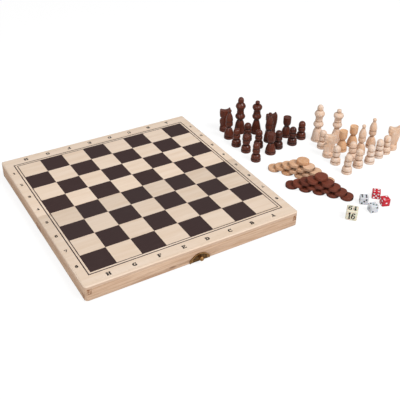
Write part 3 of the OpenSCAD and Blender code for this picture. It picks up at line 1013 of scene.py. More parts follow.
@dataclass
class Case:
    """The two printed panels and the rails under them."""

    panel_ease: float = 0.25
    rail_ease: float = 0.3

    def build(self) -> None:
        """Dresses each panel and rail."""
        ply, along_x, along_y = PLY.material(), LONG_RAIL.material(), SIDE_RAIL.material()
        for half in SIDES:
            dressed(half + "_panel", self.panel_ease, ply, half + "_half", "birch_plywood")
            for rail, finish in (("rail", along_x), ("fold_rail", along_x), ("left_rail", along_y),
                                 ("right_rail", along_y)):
                dressed(f"{half}_{rail}", self.rail_ease, finish, half + "_half", "beech_rail")


@dataclass(frozen=True)
class Bar:
    """Upright rectangle of a letter, in shares of its height."""

    left: float
    low: float
    right: float
    high: float

    def patches(self) -> list[list[Point]]:
        """Its outline."""
        return [[(self.left, self.low), (self.right, self.low), (self.right, self.high),
                 (self.left, self.high)]]


@dataclass(frozen=True)
class Slant:
    """Leaning stroke of a letter, level at both ends."""

    foot: float
    low: float
    head: float
    high: float
    width: float

    def patches(self) -> list[list[Point]]:
        """Its outline."""
        return [[(self.foot, self.low), (self.foot + self.width, self.low),
                 (self.head + self.width, self.high), (self.head, self.high)]]


@dataclass(frozen=True)
class Bowl:
    """Part of a letter's ring, thick at its sides and thin above and below."""

    x: float
    y: float
    wide: float
    tall: float
    start: float = 0.0
    end: float = 360.0
    side: float = 0.20
    thin: float = 0.07

    def patches(self) -> list[list[Point]]:
        """Its outline, as short pieces.

        Returns:
            The pieces, each a closed line.
        """
        count = max(4, round(abs(self.end - self.start) / 12))
        made = []
        for k in range(count):
            near, far = (math.radians(self.start + (self.end - self.start) * i / count) for i in (k, k + 1))
            made.append([(self.x + (self.wide - cut) * math.cos(a), self.y + (self.tall - trim) * math.sin(a))
                         for a, cut, trim in ((near, self.side, self.thin), (near, 0, 0), (far, 0, 0),
                                              (far, self.side, self.thin))])
        return made


def stem(left: float, low: float = 0.0, high: float = 1.0) -> list[Bar]:
    """A thick upright with its slab serifs."""
    serifs = [Bar(left - 0.09, at, left + 0.34, at + 0.075) for at in (0.0, 0.925) if low <= at < high]
    return [Bar(left, low, left + 0.25, high), *serifs]


def dot(x: float, y: float, radius: float) -> Bowl:
    """The round end of a curved stroke."""
    return Bowl(x, y, radius, radius, side=radius, thin=radius)


# The strokes of each character, in shares of its height.
GLYPHS = {
    "A": [Slant(0.12, 0, 0.46, 1, 0.08), Slant(0.60, 0, 0.34, 1, 0.26), Bar(0.26, 0.30, 0.66, 0.37),
          Bar(0, 0, 0.30, 0.075), Bar(0.50, 0, 0.98, 0.075)],
    "B": [*stem(0.10), Bar(0.3, 0.925, 0.48, 1), Bar(0.3, 0, 0.5, 0.075), Bar(0.3, 0.48, 0.5, 0.555),
          Bowl(0.46, 0.76, 0.36, 0.24, -90, 90), Bowl(0.48, 0.28, 0.42, 0.28, -90, 90)],
    "C": [Bowl(0.50, 0.5, 0.48, 0.5, 42, 318, 0.24, 0.06), Bar(0.82, 0.64, 0.89, 1.0),
          Bar(0.80, 0.10, 0.88, 0.28)],
    "D": [*stem(0.10), Bar(0.3, 0.925, 0.46, 1), Bar(0.3, 0, 0.46, 0.075),
          Bowl(0.44, 0.5, 0.54, 0.5, -90, 90, 0.25)],
    "E": [*stem(0.10), Bar(0.3, 0.925, 0.88, 1), Bar(0.3, 0, 0.92, 0.075), Bar(0.3, 0.46, 0.64, 0.535),
          Bar(0.80, 0.70, 0.88, 1), Bar(0.84, 0, 0.92, 0.30), Bar(0.57, 0.36, 0.64, 0.64)],
    "F": [*stem(0.10), Bar(0.3, 0.925, 0.88, 1), Bar(0.3, 0.46, 0.64, 0.535), Bar(0.80, 0.68, 0.88, 1),
          Bar(0.57, 0.36, 0.64, 0.64)],
    "G": [Bowl(0.50, 0.5, 0.48, 0.5, 42, 300, 0.24, 0.06), Bar(0.82, 0.64, 0.89, 1.0),
          Bar(0.64, 0.06, 0.88, 0.44), Bar(0.54, 0.38, 0.98, 0.45)],
    "H": [*stem(0.10), *stem(0.70), Bar(0.3, 0.46, 0.75, 0.535)],
    "1": [*stem(0.28, 0.0, 0.95), Bar(0.34, 0.9, 0.53, 1.0), Slant(0.08, 0.76, 0.30, 0.95, 0.16)],
    "2": [Bowl(0.40, 0.71, 0.34, 0.29, -50, 178), dot(0.18, 0.72, 0.12),
          Slant(0.04, 0.06, 0.46, 0.52, 0.15), Bar(0.04, 0, 0.76, 0.15), Bar(0.69, 0, 0.76, 0.30)],
    "3": [Bowl(0.36, 0.755, 0.32, 0.245, -90, 165), Bowl(0.36, 0.28, 0.38, 0.28, -165, 90),
          dot(0.15, 0.80, 0.11), dot(0.13, 0.22, 0.12)],
    "4": [Slant(0.02, 0.24, 0.50, 1, 0.09), Bar(0.02, 0.22, 0.84, 0.30), Bar(0.44, 0, 0.68, 1),
          Bar(0.32, 0, 0.80, 0.075)],
    "5": [Bar(0.14, 0.86, 0.72, 1), Bar(0.14, 0.50, 0.21, 1), Bowl(0.36, 0.31, 0.38, 0.31, -160, 128),
          dot(0.14, 0.22, 0.12)],
    "6": [Bowl(0.42, 0.31, 0.37, 0.31), Bowl(0.56, 0.42, 0.51, 0.58, 96, 190, 0.22), dot(0.66, 0.86, 0.11)],
    "7": [Bar(0.06, 0.85, 0.78, 1), Bar(0.06, 0.68, 0.13, 1), Slant(0.22, 0, 0.62, 0.88, 0.24)],
    "8": [Bowl(0.42, 0.755, 0.32, 0.245), Bowl(0.42, 0.28, 0.38, 0.28)],
}


def thickened(patch: list[Point], bold: float) -> list[Point]:
    """A patch of a letter with its edges moved out, as ink spreads."""
    mid_x, mid_y = (sum(axis) / len(patch) for axis in zip(*patch))
    return [(x + math.copysign(bold, x - mid_x), y + math.copysign(bold, y - mid_y)) for x, y in patch]


def lettered(text: str, height: float, place: Matrix, shell: Shell, bold: float = 0.055, wide: float = 1.0,
             gap: float = 0.12) -> None:
    """Adds a line of lettering, centred on a place, to a shell.

    Args:
        text: The characters.
        height: Height of the capitals in millimetres.
        place: Where it goes, in millimetres: +X along the line, +Y up the letters, +Z out of the surface.
        shell: Points and faces that it is added to.
        bold: How far its edges are moved out, as a share of the height.
        wide: Width of the characters as a share of their plain width.
        gap: Space between characters, as a share of the height.
    """
    patches, pen = [], 0.0
    for mark in text:
        own = [thickened(patch, bold) for stroke in GLYPHS[mark] for patch in stroke.patches()]
        left, right = (pick(x for patch in own for x, _ in patch) for pick in (min, max))
        patches += [[(x - left + pen, y) for x, y in patch] for patch in own]
        pen += right - left + gap
    for patch in patches:
        added(shell, [place @ Vector(((x - (pen - gap) / 2) * height * wide, (y - 0.5) * height, 0))
                      for x, y in patch], [range(len(patch))])


@dataclass
class BoardLettering:
    """The letters and numbers beside the squares. Those at the far side and on the right are turned round."""

    letter_y: float = 140.7
    number_x: float = 138.4
    letter_h: float = 5.2
    number_h: float = 4.3
    proud: float = 0.02

    def build(self) -> None:
        """Makes the lettering of each half."""
        ink = LETTER_INK.material()
        for half, side in SIDES.items():
            shell: Shell = ([], [])
            for k, mark in enumerate("HGFEDCBA"):
                self.mark(mark, self.letter_h, ((k - 3.5) * SQUARE, side * self.letter_y), side > 0, shell)
            for k in range(4):
                row = (k + 0.5) * SQUARE * side
                for x in (-self.number_x, self.number_x):
                    self.mark(str(round(4.5 - row / SQUARE)), self.number_h, (x, row), x > 0, shell)
            fit(joined(*shell, half + "_lettering", ink), half + "_half", "birch_plywood")

    def mark(self, text: str, height: float, at: Point, flipped: bool, shell: Shell) -> None:
        """Adds one character, upright or turned round.

        Args:
            text: The character.
            height: Its height.
            at: Its middle.
            flipped: Whether it faces the far side.
            shell: Points and faces that it is added to.
        """
        lettered(text, height, Matrix.Translation((*at, self.proud)) @ spun(180.0 * flipped), shell)


@dataclass
class Fittings:
    """The brass of the case: hinges, screws, clasp plates, nails, post, hook and rivet."""

    set_out: SetOut
    hinge_x: float = 88.0
    hinge_ease: float = 0.08
    screw_dx: float = 10.0
    screw_y: float = 4.4
    screw_z: float = -20.0
    screw_r: float = 1.85
    slot: Triple = (5.0, 0.5, 0.9)
    nail_x: float = 11.0
    nail_z: float = -17.4
    plate: float = 0.8
    nail_r: float = 1.5
    nail_h: float = 0.8

    def screw(self) -> bpy.types.Object:
        """A countersunk screw with its slot.

        Returns:
            The screw at the origin, head up, to be copied.
        """
        line = [(0.25, -8.9), (0.8, -7.4), (0.85, -1.0), (self.screw_r, -0.06), (self.screw_r - 0.06, 0.0)]
        slot = bmesh.new()
        bmesh.ops.create_cube(slot, size=MM, matrix=Matrix.Diagonal((*self.slot, 1)))
        return hollowed(joined(*turned(line, 32), "screw_blank"), as_piece(slot, "slot"), "screw", 30)

    def nail(self) -> bpy.types.Object:
        """A round-headed nail.

        Returns:
            The nail at the origin, head up, to be copied.
        """
        dome = [(self.nail_r * math.cos(a), self.nail_h * math.sin(a)) for a in np.radians(range(0, 90, 12))]
        line = [(0.15, -5.2), (0.6, -4.4), (0.6, 0.0), (1.42, 0.0), *dome, (0.0, self.nail_h)]
        return joined(*turned(line, 28), "nail")

    def build(self) -> None:
        """Dresses the CAD pieces, and sets the screws and nails."""
        satin, aged = HINGE_BRASS.material(), CLASP_BRASS.material()
        for side in ("left", "right"):
            for leaf, half in (("front_leaf", "front"), ("back_leaf", "back"), ("pin", "front")):
                dressed(f"{side}_hinge_{leaf}", self.hinge_ease, satin, half + "_half", "hinge_brass")
        for node, body, ease in (
                ("front_clasp_plate", "front_half", 0.18), ("clasp_post", "front_half", 0.12),
                ("back_clasp_plate", "back_half", 0.18), ("hook_rivet", "back_half", 0.08),
                ("clasp_hook", "hook", 0.15)):
            dressed(node, ease, aged, body, "clasp_brass")
        screw, nail = self.screw(), self.nail()
        for half, side in SIDES.items():
            screws = [Spot((x + dx, side * self.screw_y, self.screw_z), (180, 0, 35 * dx + x))
                      for x in (-self.hinge_x, self.hinge_x) for dx in (-self.screw_dx, self.screw_dx)]
            nails = [Spot((x, side * (CASE_FRONT + self.plate), self.nail_z), (-90 * side, 0, 0))
                     for x in (-self.nail_x, self.nail_x)]
            for kind, piece, spots, brass, slot, holder in (
                    ("screws", screw, screws, satin, "hinge_brass", "hinge"),
                    ("nails", nail, nails, aged, "clasp_brass", "clasp")):
                fit(self.set_out.place(f"{half}_{kind}", piece, spots, brass), half + "_half", slot,
                    f"{half}_{holder}_{kind}")
        for spare in (screw, nail):
            bpy.data.objects.remove(spare)


# Half outlines of the turned pieces: radius and height in millimetres, from the foot up.
# None after a point makes it a corner.
PAWN = [
    (6.9, 0), None, (7.4, 0.4), (7.5, 1), (7.5, 3.2), (7.3, 3.7), None, (6.4, 4.1), None, (6.4, 4.8), None,
    (7.1, 5.2), (7.2, 6.3), (6.95, 8), (6.1, 10), (4.9, 11.2), (4.3, 11.6), None, (3.6, 11.9), None,
    (3.7, 12.3), None, (4.6, 12.8), (5.4, 13.8), (5.75, 15.8), (5.65, 17.8), (5.3, 19.3), (4.8, 19.8), None,
    (4.1, 20.2), None, (4.2, 20.6), None, (4.95, 21), (5.35, 22.2), (5.4, 23.8), (5, 26.2), (3.9, 28.1),
    (2.3, 29.2), (0, 29.49)
]
ROOK = [
    (7.6, 0), None, (8.15, 0.4), (8.25, 1), (8.25, 3.1), (8, 3.6), None, (7.1, 4), None, (7.1, 4.7), None,
    (7.75, 5.1), (7.75, 6.6), (7.3, 8.7), (6.3, 12.3), (4.8, 15.8), (3.8, 17.8), (3.35, 18.7), None,
    (3.6, 19.2), (4.5, 20.1), (5.5, 21.7), (6, 23.8), (6.15, 25.5), (6.2, 30), (6.2, 33.4), None,
    (6, 33.98), None, (5.2, 33.98), None, (5, 33.5), None, (4.8, 33.2), None, (0, 33.1)
]
BISHOP = [
    (7, 0), None, (7.4, 0.4), (7.5, 1), (7.5, 3.3), (7.3, 3.9), None, (6.4, 4.2), None, (6.4, 4.9), None,
    (7.25, 5.45), (7.25, 7.5), (6.8, 10.6), (5.4, 15), (3.9, 17.9), (3.1, 19.1), None, (2.4, 19.75), None,
    (3.5, 20.7), (4.7, 21.9), (5.5, 23.3), (5.65, 25), (5.55, 27.5), (5.3, 29.1), None, (4.6, 29.65), None,
    (5.3, 30.2), (5.6, 31.8), (5.6, 33.6), (4.8, 37.8), (3.2, 42), (2.2, 44.2), None, (1.6, 44.9), None,
    (2.4, 45.7), (2.85, 47.2), (2.5, 49), (1.4, 49.8), (0, 49.98)
]
KING = [
    (8.4, 0), None, (8.9, 0.4), (9, 1), (9, 1.9), (8.75, 2.5), None, (7.9, 2.85), None, (7.9, 3.25), None,
    (8.45, 3.6), (7.95, 7), (7, 15.2), (5.5, 19.6), (4.2, 22.2), (3.7, 23), None, (3.5, 23.3), None,
    (5.6, 24), (7.2, 25.7), (7.85, 27.4), (7.8, 28.8), (6.8, 30.9), (5.7, 32.7), None, (4.8, 33.35), None,
    (4.8, 33.8), None, (5.65, 34.4), (5.4, 36.5), (5.45, 38.7), (6.4, 41.6), (7.6, 43.8), (7.9, 45),
    (7.6, 46.5), (6.6, 48.5), (5.2, 50.2), (4.4, 51), None, (3.9, 51.4), None, (4.5, 52.3), (4.7, 54.2),
    (4.3, 56.8), (3, 58.9), (1.5, 59.8), (0, 59.98)
]
QUEEN = [
    (8.4, 0), None, (8.9, 0.4), (9, 1), (9, 1.9), (8.7, 2.5), None, (7.8, 2.85), None, (7.8, 3.25), None,
    (8.3, 3.6), (7.5, 8), (6.4, 14), (5.2, 18.5), (4.1, 22.3), (3.5, 23.9), None, (3.3, 24.2), None,
    (5, 25), (6.4, 26.7), (7.15, 28.6), (7.1, 30.2), (6.3, 32.1), (5.6, 34), None, (4.8, 34.7), None,
    (4.8, 35.1), None, (5.6, 35.7), (5.2, 38.6), (5.6, 40.2), (6.6, 42), (7.5, 43.8), (7.7, 45.2),
    (7.4, 46.9), (6.3, 48.5), (4.6, 49.6), (3.3, 49.95), None, (2.5, 50.35), None, (3.3, 51.5), (3.5, 53),
    (3.1, 54.9), (1.9, 55.7), (0, 55.98)
]
KNIGHT_FOOT = [
    (7.6, 0), None, (8.15, 0.4), (8.25, 1), (8.25, 3.3), (8.1, 3.95), None, (7.2, 4.35), None, (7.2, 4.8),
    None, (7.9, 5.2), (7.85, 6.4), (7.3, 7.6), (6.6, 8.2), None, (5, 8.7), None, (4.6, 9.6), (4.6, 11),
    None, (0, 11.5)
]


@dataclass
class KnightCarving:
    """A knight: a turned foot and a carved horse's head, shaped as a solid field and then skinned."""

    grain: float = 0.36
    half: float = 4.45
    edge: float = 1.3
    low: Triple = (-10.4, -6.0, 7.0)
    high: Triple = (10.8, 6.0, 40.6)
    outline: tuple = (
        (-6, 8.9), (-6.6, 12), (-8, 18), (-9, 25), (-9.3, 31), (-8.7, 36), (-7.2, 38.9), (-5, 37.2),
        (-1.5, 35.8), (2.5, 35.8), (6, 36.9), (7.9, 36.1), (8.3, 33), (8.2, 27), (7.4, 25), (5.4, 24),
        (4.6, 22.6), (6.4, 20.6), (7.9, 18.5), (8.2, 15), (7.4, 11.5), (6, 8.9))

    def rim(self) -> np.ndarray:
        """The head's side outline, rounded.

        Returns:
            A closed line in millimetres.
        """
        knots = [np.array(p) for p in (self.outline[-1], *self.outline, *self.outline[:2])]
        return np.array([between(*knots[i:i + 4], share) for i in range(len(self.outline))
                         for share in (0.0, 0.25, 0.5, 0.75)])

    @staticmethod
    def inside(x: np.ndarray, z: np.ndarray, rim: np.ndarray) -> np.ndarray:
        """Distance to a closed line, below 0 inside it.

        Args:
            x: Places along X.
            z: Places along Z.
            rim: Points of the line.

        Returns:
            The signed distance at each place.
        """
        best, sign = np.full(x.shape, 1e9), np.ones(x.shape)
        for (ax, az), (bx, bz) in zip(rim, np.roll(rim, -1, axis=0)):
            ex, ez, wx, wz = bx - ax, bz - az, x - ax, z - az
            t = np.clip((wx * ex + wz * ez) / (ex * ex + ez * ez + 1e-12), 0, 1)
            best = np.minimum(best, (wx - t * ex) ** 2 + (wz - t * ez) ** 2)
            crossed = ((az > z) != (bz > z)) & (x < ex * (z - az) / (ez if abs(ez) > 1e-9 else 1e-9) + ax)
            sign = np.where(crossed, -sign, sign)
        return sign * np.sqrt(best)

    @staticmethod
    def merged(first: np.ndarray, second: np.ndarray, soft: float) -> np.ndarray:
        """Two solids joined with a soft fillet."""
        h = np.clip(0.5 + 0.5 * (second - first) / soft, 0, 1)
        return second * (1 - h) + first * h - soft * h * (1 - h)

    @classmethod
    def cut(cls, body: np.ndarray, tool: np.ndarray, soft: float) -> np.ndarray:
        """A solid with another cut out of it, the edge softly rounded."""
        return -cls.merged(-body, tool, soft)

    def solid(self, x: np.ndarray, y: np.ndarray, z: np.ndarray) -> np.ndarray:
        """The carved head as a field, below 0 inside the wood.

        Args:
            x: Places along X, the way the knight looks.
            y: Places along Y.
            z: Places along Z.

        Returns:
            The field at each place.
        """
        side = np.abs(y)
        half = self.half - 0.7 * np.clip((x - 2) / 6, 0, 1) - 0.4 * np.clip((z - 33) / 5, 0, 1)
        wide = side - half + self.edge
        tall = self.inside(x[:, 0, :], z[:, 0, :], self.rim())[:, None, :] + self.edge
        body = (np.minimum(np.maximum(wide, tall), 0) + np.hypot(np.maximum(wide, 0), np.maximum(tall, 0))
                - self.edge)

        def ball(middle: Triple, radii: Triple) -> np.ndarray:
            """An egg on both sides of the head."""
            far = sum(((at - c) / r) ** 2 for at, c, r in zip((x, side, z), middle, radii))
            return (np.sqrt(far) - 1) * min(radii)

        cheek, muzzle = ball((-1.0, 2.8, 28.4), (4.3, 2.3, 4.6)), ball((6.0, 1.8, 31.0), (2.2, 2.4, 3.4))
        ear, brow = ball((-6.6, 2.4, 36.2), (1.5, 1.2, 2.6)), ball((-0.3, 3.8, 33.2), (1.7, 1.0, 1.0))
        for lump, soft in ((cheek, 1.0), (muzzle, 0.8), (ear, 0.6), (brow, 0.5)):
            body = self.merged(body, lump, soft)
        between_ears = ball((-6.6, 0.0, 38.8), (2.6, 1.0, 3.0))
        nostril, eye = ball((7.7, 3.3, 33.6), (0.9, 0.75, 0.75)), ball((-0.1, 4.8, 33.2), (0.6, 0.5, 0.5))
        mouth = np.maximum(np.abs(z - 28.9 - 0.05 * (x - 6)) - 0.32, 4.6 - x)
        for hollow, soft in ((between_ears, 0.5), (nostril, 0.35), (eye, 0.35), (mouth, 0.35)):
            body = self.cut(body, hollow, soft)
        mane = np.clip((-x - 3.6) / 2.2, 0, 1) * np.clip((36.5 - z) / 3, 0, 1) * np.clip((z - 12) / 3, 0, 1)
        body = body + mane * (0.30 + 0.30 * np.sin((z - 0.9 * x) * 2.35))
        ridge = np.abs(x + 3.6 + 0.12 * (z - 24)) - 0.3
        return self.cut(body, np.maximum(ridge, np.maximum(14 - z, z - 35)) + 0.25, 0.4)

    def skin(self) -> tuple[np.ndarray, list]:
        """The head's surface, as points in the cells where the field changes its sign, joined by quads.

        Returns:
            Its points in millimetres and its faces.
        """
        grid = self.solid(*np.meshgrid(*(np.arange(a, b, self.grain) for a, b in zip(self.low, self.high)),
                                       indexing="ij"))
        shape = tuple(n - 1 for n in grid.shape)
        total, count = np.zeros((*shape, 3)), np.zeros(shape)
        for axis in range(3):
            for other in range(4):
                start = [0, 0, 0]
                start[(axis + 1) % 3], start[(axis + 2) % 3] = other & 1, other >> 1
                far = list(start)
                far[axis] = 1
                f0, f1 = (grid[tuple(slice(s, s + n) for s, n in zip(corner, shape))]
                          for corner in (start, far))
                crossing = (f0 < 0) != (f1 < 0)
                spot = np.zeros((*shape, 3)) + start
                spot[..., axis] += np.where(crossing, f0 / np.where(crossing, f0 - f1, 1.0), 0.0)
                total += spot * crossing[..., None]
                count += crossing
        live = count > 0
        number = np.full(shape, -1)
        number[live] = np.arange(live.sum())
        points = (np.argwhere(live) + total[live] / count[live][:, None]) * self.grain + self.low
        faces = []
        for axis in range(3):
            u, v = (axis + 1) % 3, (axis + 2) % 3
            f0, f1 = (np.take(grid, range(i, grid.shape[axis] - 1 + i), axis) for i in (0, 1))
            for cell in np.argwhere((f0 < 0) != (f1 < 0)):
                if cell[u] and cell[v]:
                    ring = []
                    for du, dv in ((0, 0), (1, 0), (1, 1), (0, 1)):
                        spot = cell.copy()
                        spot[u] -= du
                        spot[v] -= dv
                        ring.append(int(number[tuple(spot)]))
                    faces.append(ring if f0[tuple(cell)] < 0 else ring[::-1])
        return points, faces

    def build(self) -> bpy.types.Object:
        """Skins the head and stands it on its foot.

        Returns:
            The knight, looking along +X, with its foot's middle at the origin.
        """
        points, faces = self.skin()
        shell = [Vector(p) for p in points], faces
        added(shell, *turned(flowing(KNIGHT_FOOT)))
        return joined(*shell, "knight", crease=50)


@dataclass
class Chessmen:
    """Both colours of chessmen, standing where they were set down. A third number is a knight's turn."""

    set_out: SetOut
    kinds: dict = field(default_factory=lambda: {
        "king": (KING, 60.48), "queen": (QUEEN, 54.98), "bishops": (BISHOP, 48.98), "rooks": (ROOK, 33.48),
        "pawns": (PAWN, 29.48)})
    dark: dict = field(default_factory=lambda: {
        "king": [(72.5, 94)], "queen": [(94.5, 80.5)], "bishops": [(47.5, 86.5), (95.5, 48)],
        "knights": [(55, 110.5, 152), (109, 62, 158)], "rooks": [(77, 16.5), (129, 47.5)],
        "pawns": [(44.5, 60.5), (69, 67), (47.5, 38.5), (71.5, 40.5), (45.5, 9.5), (96.5, 24), (122, 22.5),
                  (145.5, 30.5)]})
    light: dict = field(default_factory=lambda: {
        "king": [(163.5, 14)], "queen": [(186.5, -3)], "bishops": [(194, -51), (222, -43.5)],
        "knights": [(246.5, -63, 145), (147, -33, 150)], "rooks": [(176, -29.5), (200, -26)],
        "pawns": [(155.5, -8.5), (143, -55), (140.5, -83), (166, -78), (171.5, -57.5), (188.5, -78),
                  (212, -71.5), (229.5, -68)]})
    light_tints: dict = field(default_factory=lambda: {
        "king": (0.12, 0.3), "queen": (0.12, 0.3), "bishops": (0.25, 0.5), "knights": (0.1, 0.5),
        "rooks": (0.75, 0.95), "pawns": (0.0, 0.32)})
    dark_tint: Point = (0.1, 0.75)

    def piece(self, kind: str) -> bpy.types.Object:
        """One chessman.

        Args:
            kind: Its kind.

        Returns:
            The chessman at the origin, to be copied.
        """
        if kind == "knights":
            return KnightCarving().build()
        outline, height = self.kinds[kind]
        tall = height / max(p[1] for p in outline if p)
        line = [(r, z * tall) for r, z in flowing(outline)]
        made = joined(*turned(line), kind, crease=38)
        # the grooves get painted shade
        grimed(made, line)
        return made

    def build(self) -> None:
        """Stands each kind of both colours."""
        finishes = {"light": LIGHT_WOOD.material(), "dark": DARK_WOOD.material()}
        for kind, light_tint in self.light_tints.items():
            piece = self.piece(kind)
            for colour, places, tint in (("light", self.light, light_tint),
                                         ("dark", self.dark, self.dark_tint)):
                spots = [Spot((CASE_SIDE + x, y, GROUND), (0, 0, turn[0] if turn else 37 * k))
                         for k, (x, y, *turn) in enumerate(places[kind])]
                made = self.set_out.place(f"{colour}_{kind}_turned", piece, spots, finishes[colour], tint, 3)
                fit(made, colour + "_chessmen", colour + "_wood", f"{colour}_{kind}")
            bpy.data.objects.remove(piece)


class Face(Enum):
    """The faces of a cube, each with the turn that brings a flat drawing onto it."""

    UP = (0, "X")
    DOWN = (180, "X")
    FRONT = (90, "X")
    BACK = (-90, "X")
    RIGHT = (90, "Y")
    LEFT = (-90, "Y")

    def turn(self) -> Matrix:
        """The turn onto the face."""
        return spun(*self.value)


@dataclass(frozen=True)
class Throw:
    """How a die lies: place from the case's right side, turn, three faces and the top pips' own turn."""

    at: Point
    angle: float
    up: int = 6
    front: int = 5
    right: int = 4
    spin: float = 0.0

    def lie(self, lift: float = 0.0) -> Matrix:
        """Its place and turn, lift above the ground."""
        return Matrix.Translation((CASE_SIDE + self.at[0], self.at[1], GROUND + lift)) @ spun(self.angle)

    def numbers(self) -> list[int]:
        """The numbers on its faces, where those opposite each other add up to seven."""
        return [n for face in (self.up, self.front, self.right) for n in (face, 7 - face)]


@dataclass
class Dice:
    """The dice with their sunk pips, and the doubling cube with its numbers."""

    set_out: SetOut
    side: float = 11.0
    ease: float = 1.15
    pip_r: float = 1.27
    pip_d: float = 0.3
    white: tuple = (Throw((109.5, -153), -37, 6, 3, 2), Throw((107, -173.5), -14, 3, 2, 6, 90))
    red: tuple = (Throw((133.5, -151), -43, 4, 5, 1), Throw((131.5, -170), -20, 2, 1, 3))
    cube: float = 14.94
    cube_ease: float = 1.7
    cube_throw: Throw = Throw((72.5, -171), -47)
    number_h: float = 9.4
    numbers: tuple = (("64", 0), ("2", 180), ("16", 0), ("4", 180), ("32", 90), ("8", -90))

    @staticmethod
    def block(side: float, ease: float, lie: Matrix) -> Shell:
        """Points and faces of a cube with rounded edges.

        Args:
            side: Its side in millimetres.
            ease: Radius of its edges.
            lie: Its place and turn.

        Returns:
            Its points and its faces.
        """
        shape = bmesh.new()
        bmesh.ops.create_cube(shape, size=side)
        bmesh.ops.bevel(shape, geom=shape.edges[:], offset=ease, segments=6, profile=0.5, affect="EDGES")
        bmesh.ops.translate(shape, verts=shape.verts, vec=(0, 0, side / 2))
        made = [lie @ v.co for v in shape.verts], [[v.index for v in f.verts] for f in shape.faces]
        shape.free()
        return made

    @staticmethod
    def pips(number: int) -> list[Point]:
        """Where a face's pips are.

        Args:
            number: How many there are.

        Returns:
            Their places, in shares of the die's side.
        """
        made = [(0.0, 0.0)] if number % 2 else []
        made += [(-0.25, -0.25), (0.25, 0.25)] if number > 1 else []
        made += [(-0.25, 0.25), (0.25, -0.25)] if number > 3 else []
        return made + ([(-0.25, 0.0), (0.25, 0.0)] if number == 6 else [])

    def pair(self, colour: str, throws: tuple, body: Plastic, paint: Plastic) -> None:
        """Makes both dice of one colour, with their pips cut out and painted.

        Args:
            colour: Their colour.
            throws: How the dice lie.
            body: The plastic.
            paint: The pips' paint.
        """
        ball = (self.pip_r ** 2 + self.pip_d ** 2) / (2 * self.pip_d)
        shell, spots = ([], []), []
        for throw in throws:
            added(shell, *self.block(self.side, self.ease, throw.lie()))
            middle = throw.lie() @ Matrix.Translation((0, 0, self.side / 2))
            for face, number in zip(Face, throw.numbers()):
                place = middle @ face.turn() @ spun(throw.spin if face is Face.UP else 0)
                for u, v in self.pips(number):
                    sunk = Vector((u * self.side, v * self.side, self.side / 2 - self.pip_d + ball))
                    spots.append(Spot(tuple(place @ sunk)))
        name = colour + "_dice_moulded"
        blank = joined(*shell, name + "_blank", body.material())
        sphere = bmesh.new()
        bmesh.ops.create_uvsphere(sphere, u_segments=28, v_segments=20, radius=ball * MM)
        pip = as_piece(sphere, "pip")
        pips = self.set_out.place(name + "_pips", pip, spots, paint.material())
        bpy.data.objects.remove(pip)
        fit(hollowed(blank, pips, name, 18), "dice_group", colour + "_plastic", colour + "_dice")

    def doubling(self) -> None:
        """Makes the doubling cube and the numbers on its six faces."""
        lie = self.cube_throw.lie(0.03)
        block = self.block(self.cube, self.cube_ease, lie)
        fit(joined(*block, "doubling_cube_moulded", IVORY.material(), 18), "dice_group", "ivory_plastic",
            "doubling_cube")
        shell: Shell = ([], [])
        for face, (number, turn) in zip(Face, self.numbers):
            place = (lie @ Matrix.Translation((0, 0, self.cube / 2)) @ face.turn()
                     @ Matrix.Translation((0, 0, self.cube / 2 + 0.012)) @ spun(turn))
            lettered(number, self.number_h, place, shell, 0.02, 0.68)
        fit(joined(*shell, "doubling_cube_numbers", BLACK_PAINT.material()), "dice_group", "ivory_plastic")

    def build(self) -> None:
        """Makes the four dice and the doubling cube."""
        self.pair("white", self.white, WHITE, BLACK_PAINT)
        self.pair("red", self.red, RED, WHITE_PAINT)
        self.doubling()


@dataclass(frozen=True)
class Lamp:
    """A soft square lamp: its place and side in metres and its power in watts."""

    name: str
    place: Triple
    side: float
    power: float

    def hang(self, aim: Vector) -> None:
        """Hangs the lamp in its place.

        Args:
            aim: What it points at, in metres.
        """
        data = bpy.data.lights.new(self.name, "AREA")
        data.size, data.energy = self.side, self.power
        facing = (Vector(self.place) - aim).to_track_quat("Z", "Y").to_matrix().to_4x4()
        placed(data, self.name).matrix_world = Matrix.Translation(self.place) @ facing


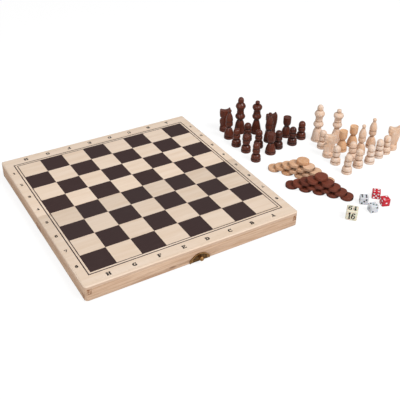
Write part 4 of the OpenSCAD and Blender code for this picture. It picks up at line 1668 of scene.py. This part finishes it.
@dataclass
class Studio:
    """The camera, the pale floor and the soft lights."""

    eye: Triple = (-0.318938, -0.676064, 0.488994)
    ahead: Triple = (0.42655274, 0.70546191, -0.56601789)
    up: Triple = (0.27840715, 0.49300975, 0.82427595)
    lens: float = 60.263
    floor_reach: float = 4000.0
    floor_grey: float = 0.74
    floor_shade: float = 0.22
    floor_glow: float = 0.83
    sky_seen: float = 1.0
    sky_light: float = 0.36
    aim: Triple = (0.1, 0.0, 0.0)
    lamps: tuple = (Lamp("key", (0.85, -1.65, 2.3), 1.1, 53.0), Lamp("fill", (-1.9, -0.9, 1.65), 1.5, 22.0))

    def camera(self) -> None:
        """Sets the camera at the photograph's angle."""
        data = bpy.data.cameras.new("camera")
        data.lens, data.sensor_width, data.clip_end = self.lens, 36.0, 20.0
        back, top = -Vector(self.ahead), Vector(self.up)
        made = placed(data, "camera")
        made.matrix_world = (Matrix.Translation(self.eye)
                             @ Matrix((top.cross(back), top, back)).transposed().to_4x4())
        bpy.context.scene.camera = made

    def seen(self, graph: Graph) -> Value:
        """1 for the rays that should see a white background: camera and transmission."""
        path = graph.node("ShaderNodeLightPath")
        return graph.out(path, "Is Camera Ray").use("MAXIMUM", graph.out(path, "Is Transmission Ray"))

    def floor(self) -> None:
        """The floor, which shows white with the object's soft shadow, and can be seen through from below."""
        paint = Paint("pale_floor")
        paint.finish((self.floor_grey,) * 3, 0.9, Specular_IOR_Level=0.0)
        dim = paint.result("ShaderNodeBsdfDiffuse", {"Color": (self.floor_shade,) * 3})
        glow = paint.result("ShaderNodeEmission", {"Color": (1, 1, 1), "Strength": self.floor_glow})
        white = paint.result("ShaderNodeAddShader", {0: dim, 1: glow})
        top = paint.result("ShaderNodeMixShader", {0: self.seen(paint), 1: paint.out(paint.shader), 2: white})
        under = paint.result("ShaderNodeNewGeometry", output="Backfacing")
        clear = paint.result("ShaderNodeBsdfTransparent")
        whole = paint.result("ShaderNodeMixShader", {0: under, 1: top, 2: clear})
        paint.feed(paint.end.inputs["Surface"], whole)
        corners = [Vector((x * self.floor_reach, y * self.floor_reach, GROUND - 0.02))
                   for x, y in ((-1, -1), (1, -1), (1, 1), (-1, 1))]
        joined(corners, [(0, 1, 2, 3)], "floor", paint.material)

    def build(self) -> None:
        """Makes the studio."""
        self.camera()
        self.floor()
        world = bpy.context.scene.world = bpy.data.worlds.new("studio")
        world.use_nodes = True
        world.node_tree.nodes.clear()
        graph = Graph(world.node_tree)
        strength = self.seen(graph) * (self.sky_seen - self.sky_light) + self.sky_light
        graph.node("ShaderNodeOutputWorld", {
            "Surface": graph.result("ShaderNodeBackground", {"Color": (1, 1, 1), "Strength": strength})})
        for lamp in self.lamps:
            lamp.hang(Vector(self.aim))
        bpy.context.scene.view_settings.view_transform = "Standard"


def main() -> None:
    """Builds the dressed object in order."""
    logging.basicConfig(level=logging.INFO, format="%(message)s")
    Studio().build()
    set_out = SetOut()
    for maker in (Case(), BoardLettering(), Fittings(set_out), Chessmen(set_out)):
        maker.build()
    wall = BrickWall()
    for colour, place, angle, loose, finish, seed in (
            ("light", (77, -58), -56, 0.4, LIGHT_DISC, 5),
            ("dark", (73.5, -103.5), -51.5, -0.4, DARK_DISC, 8)):
        fit(wall.build(colour + "_wall", place, angle, loose, finish, seed), colour + "_draughts_wall",
            colour + "_wood", colour + "_draughts")
    Dice(set_out).build()


if __name__ == "__main__":
    main()
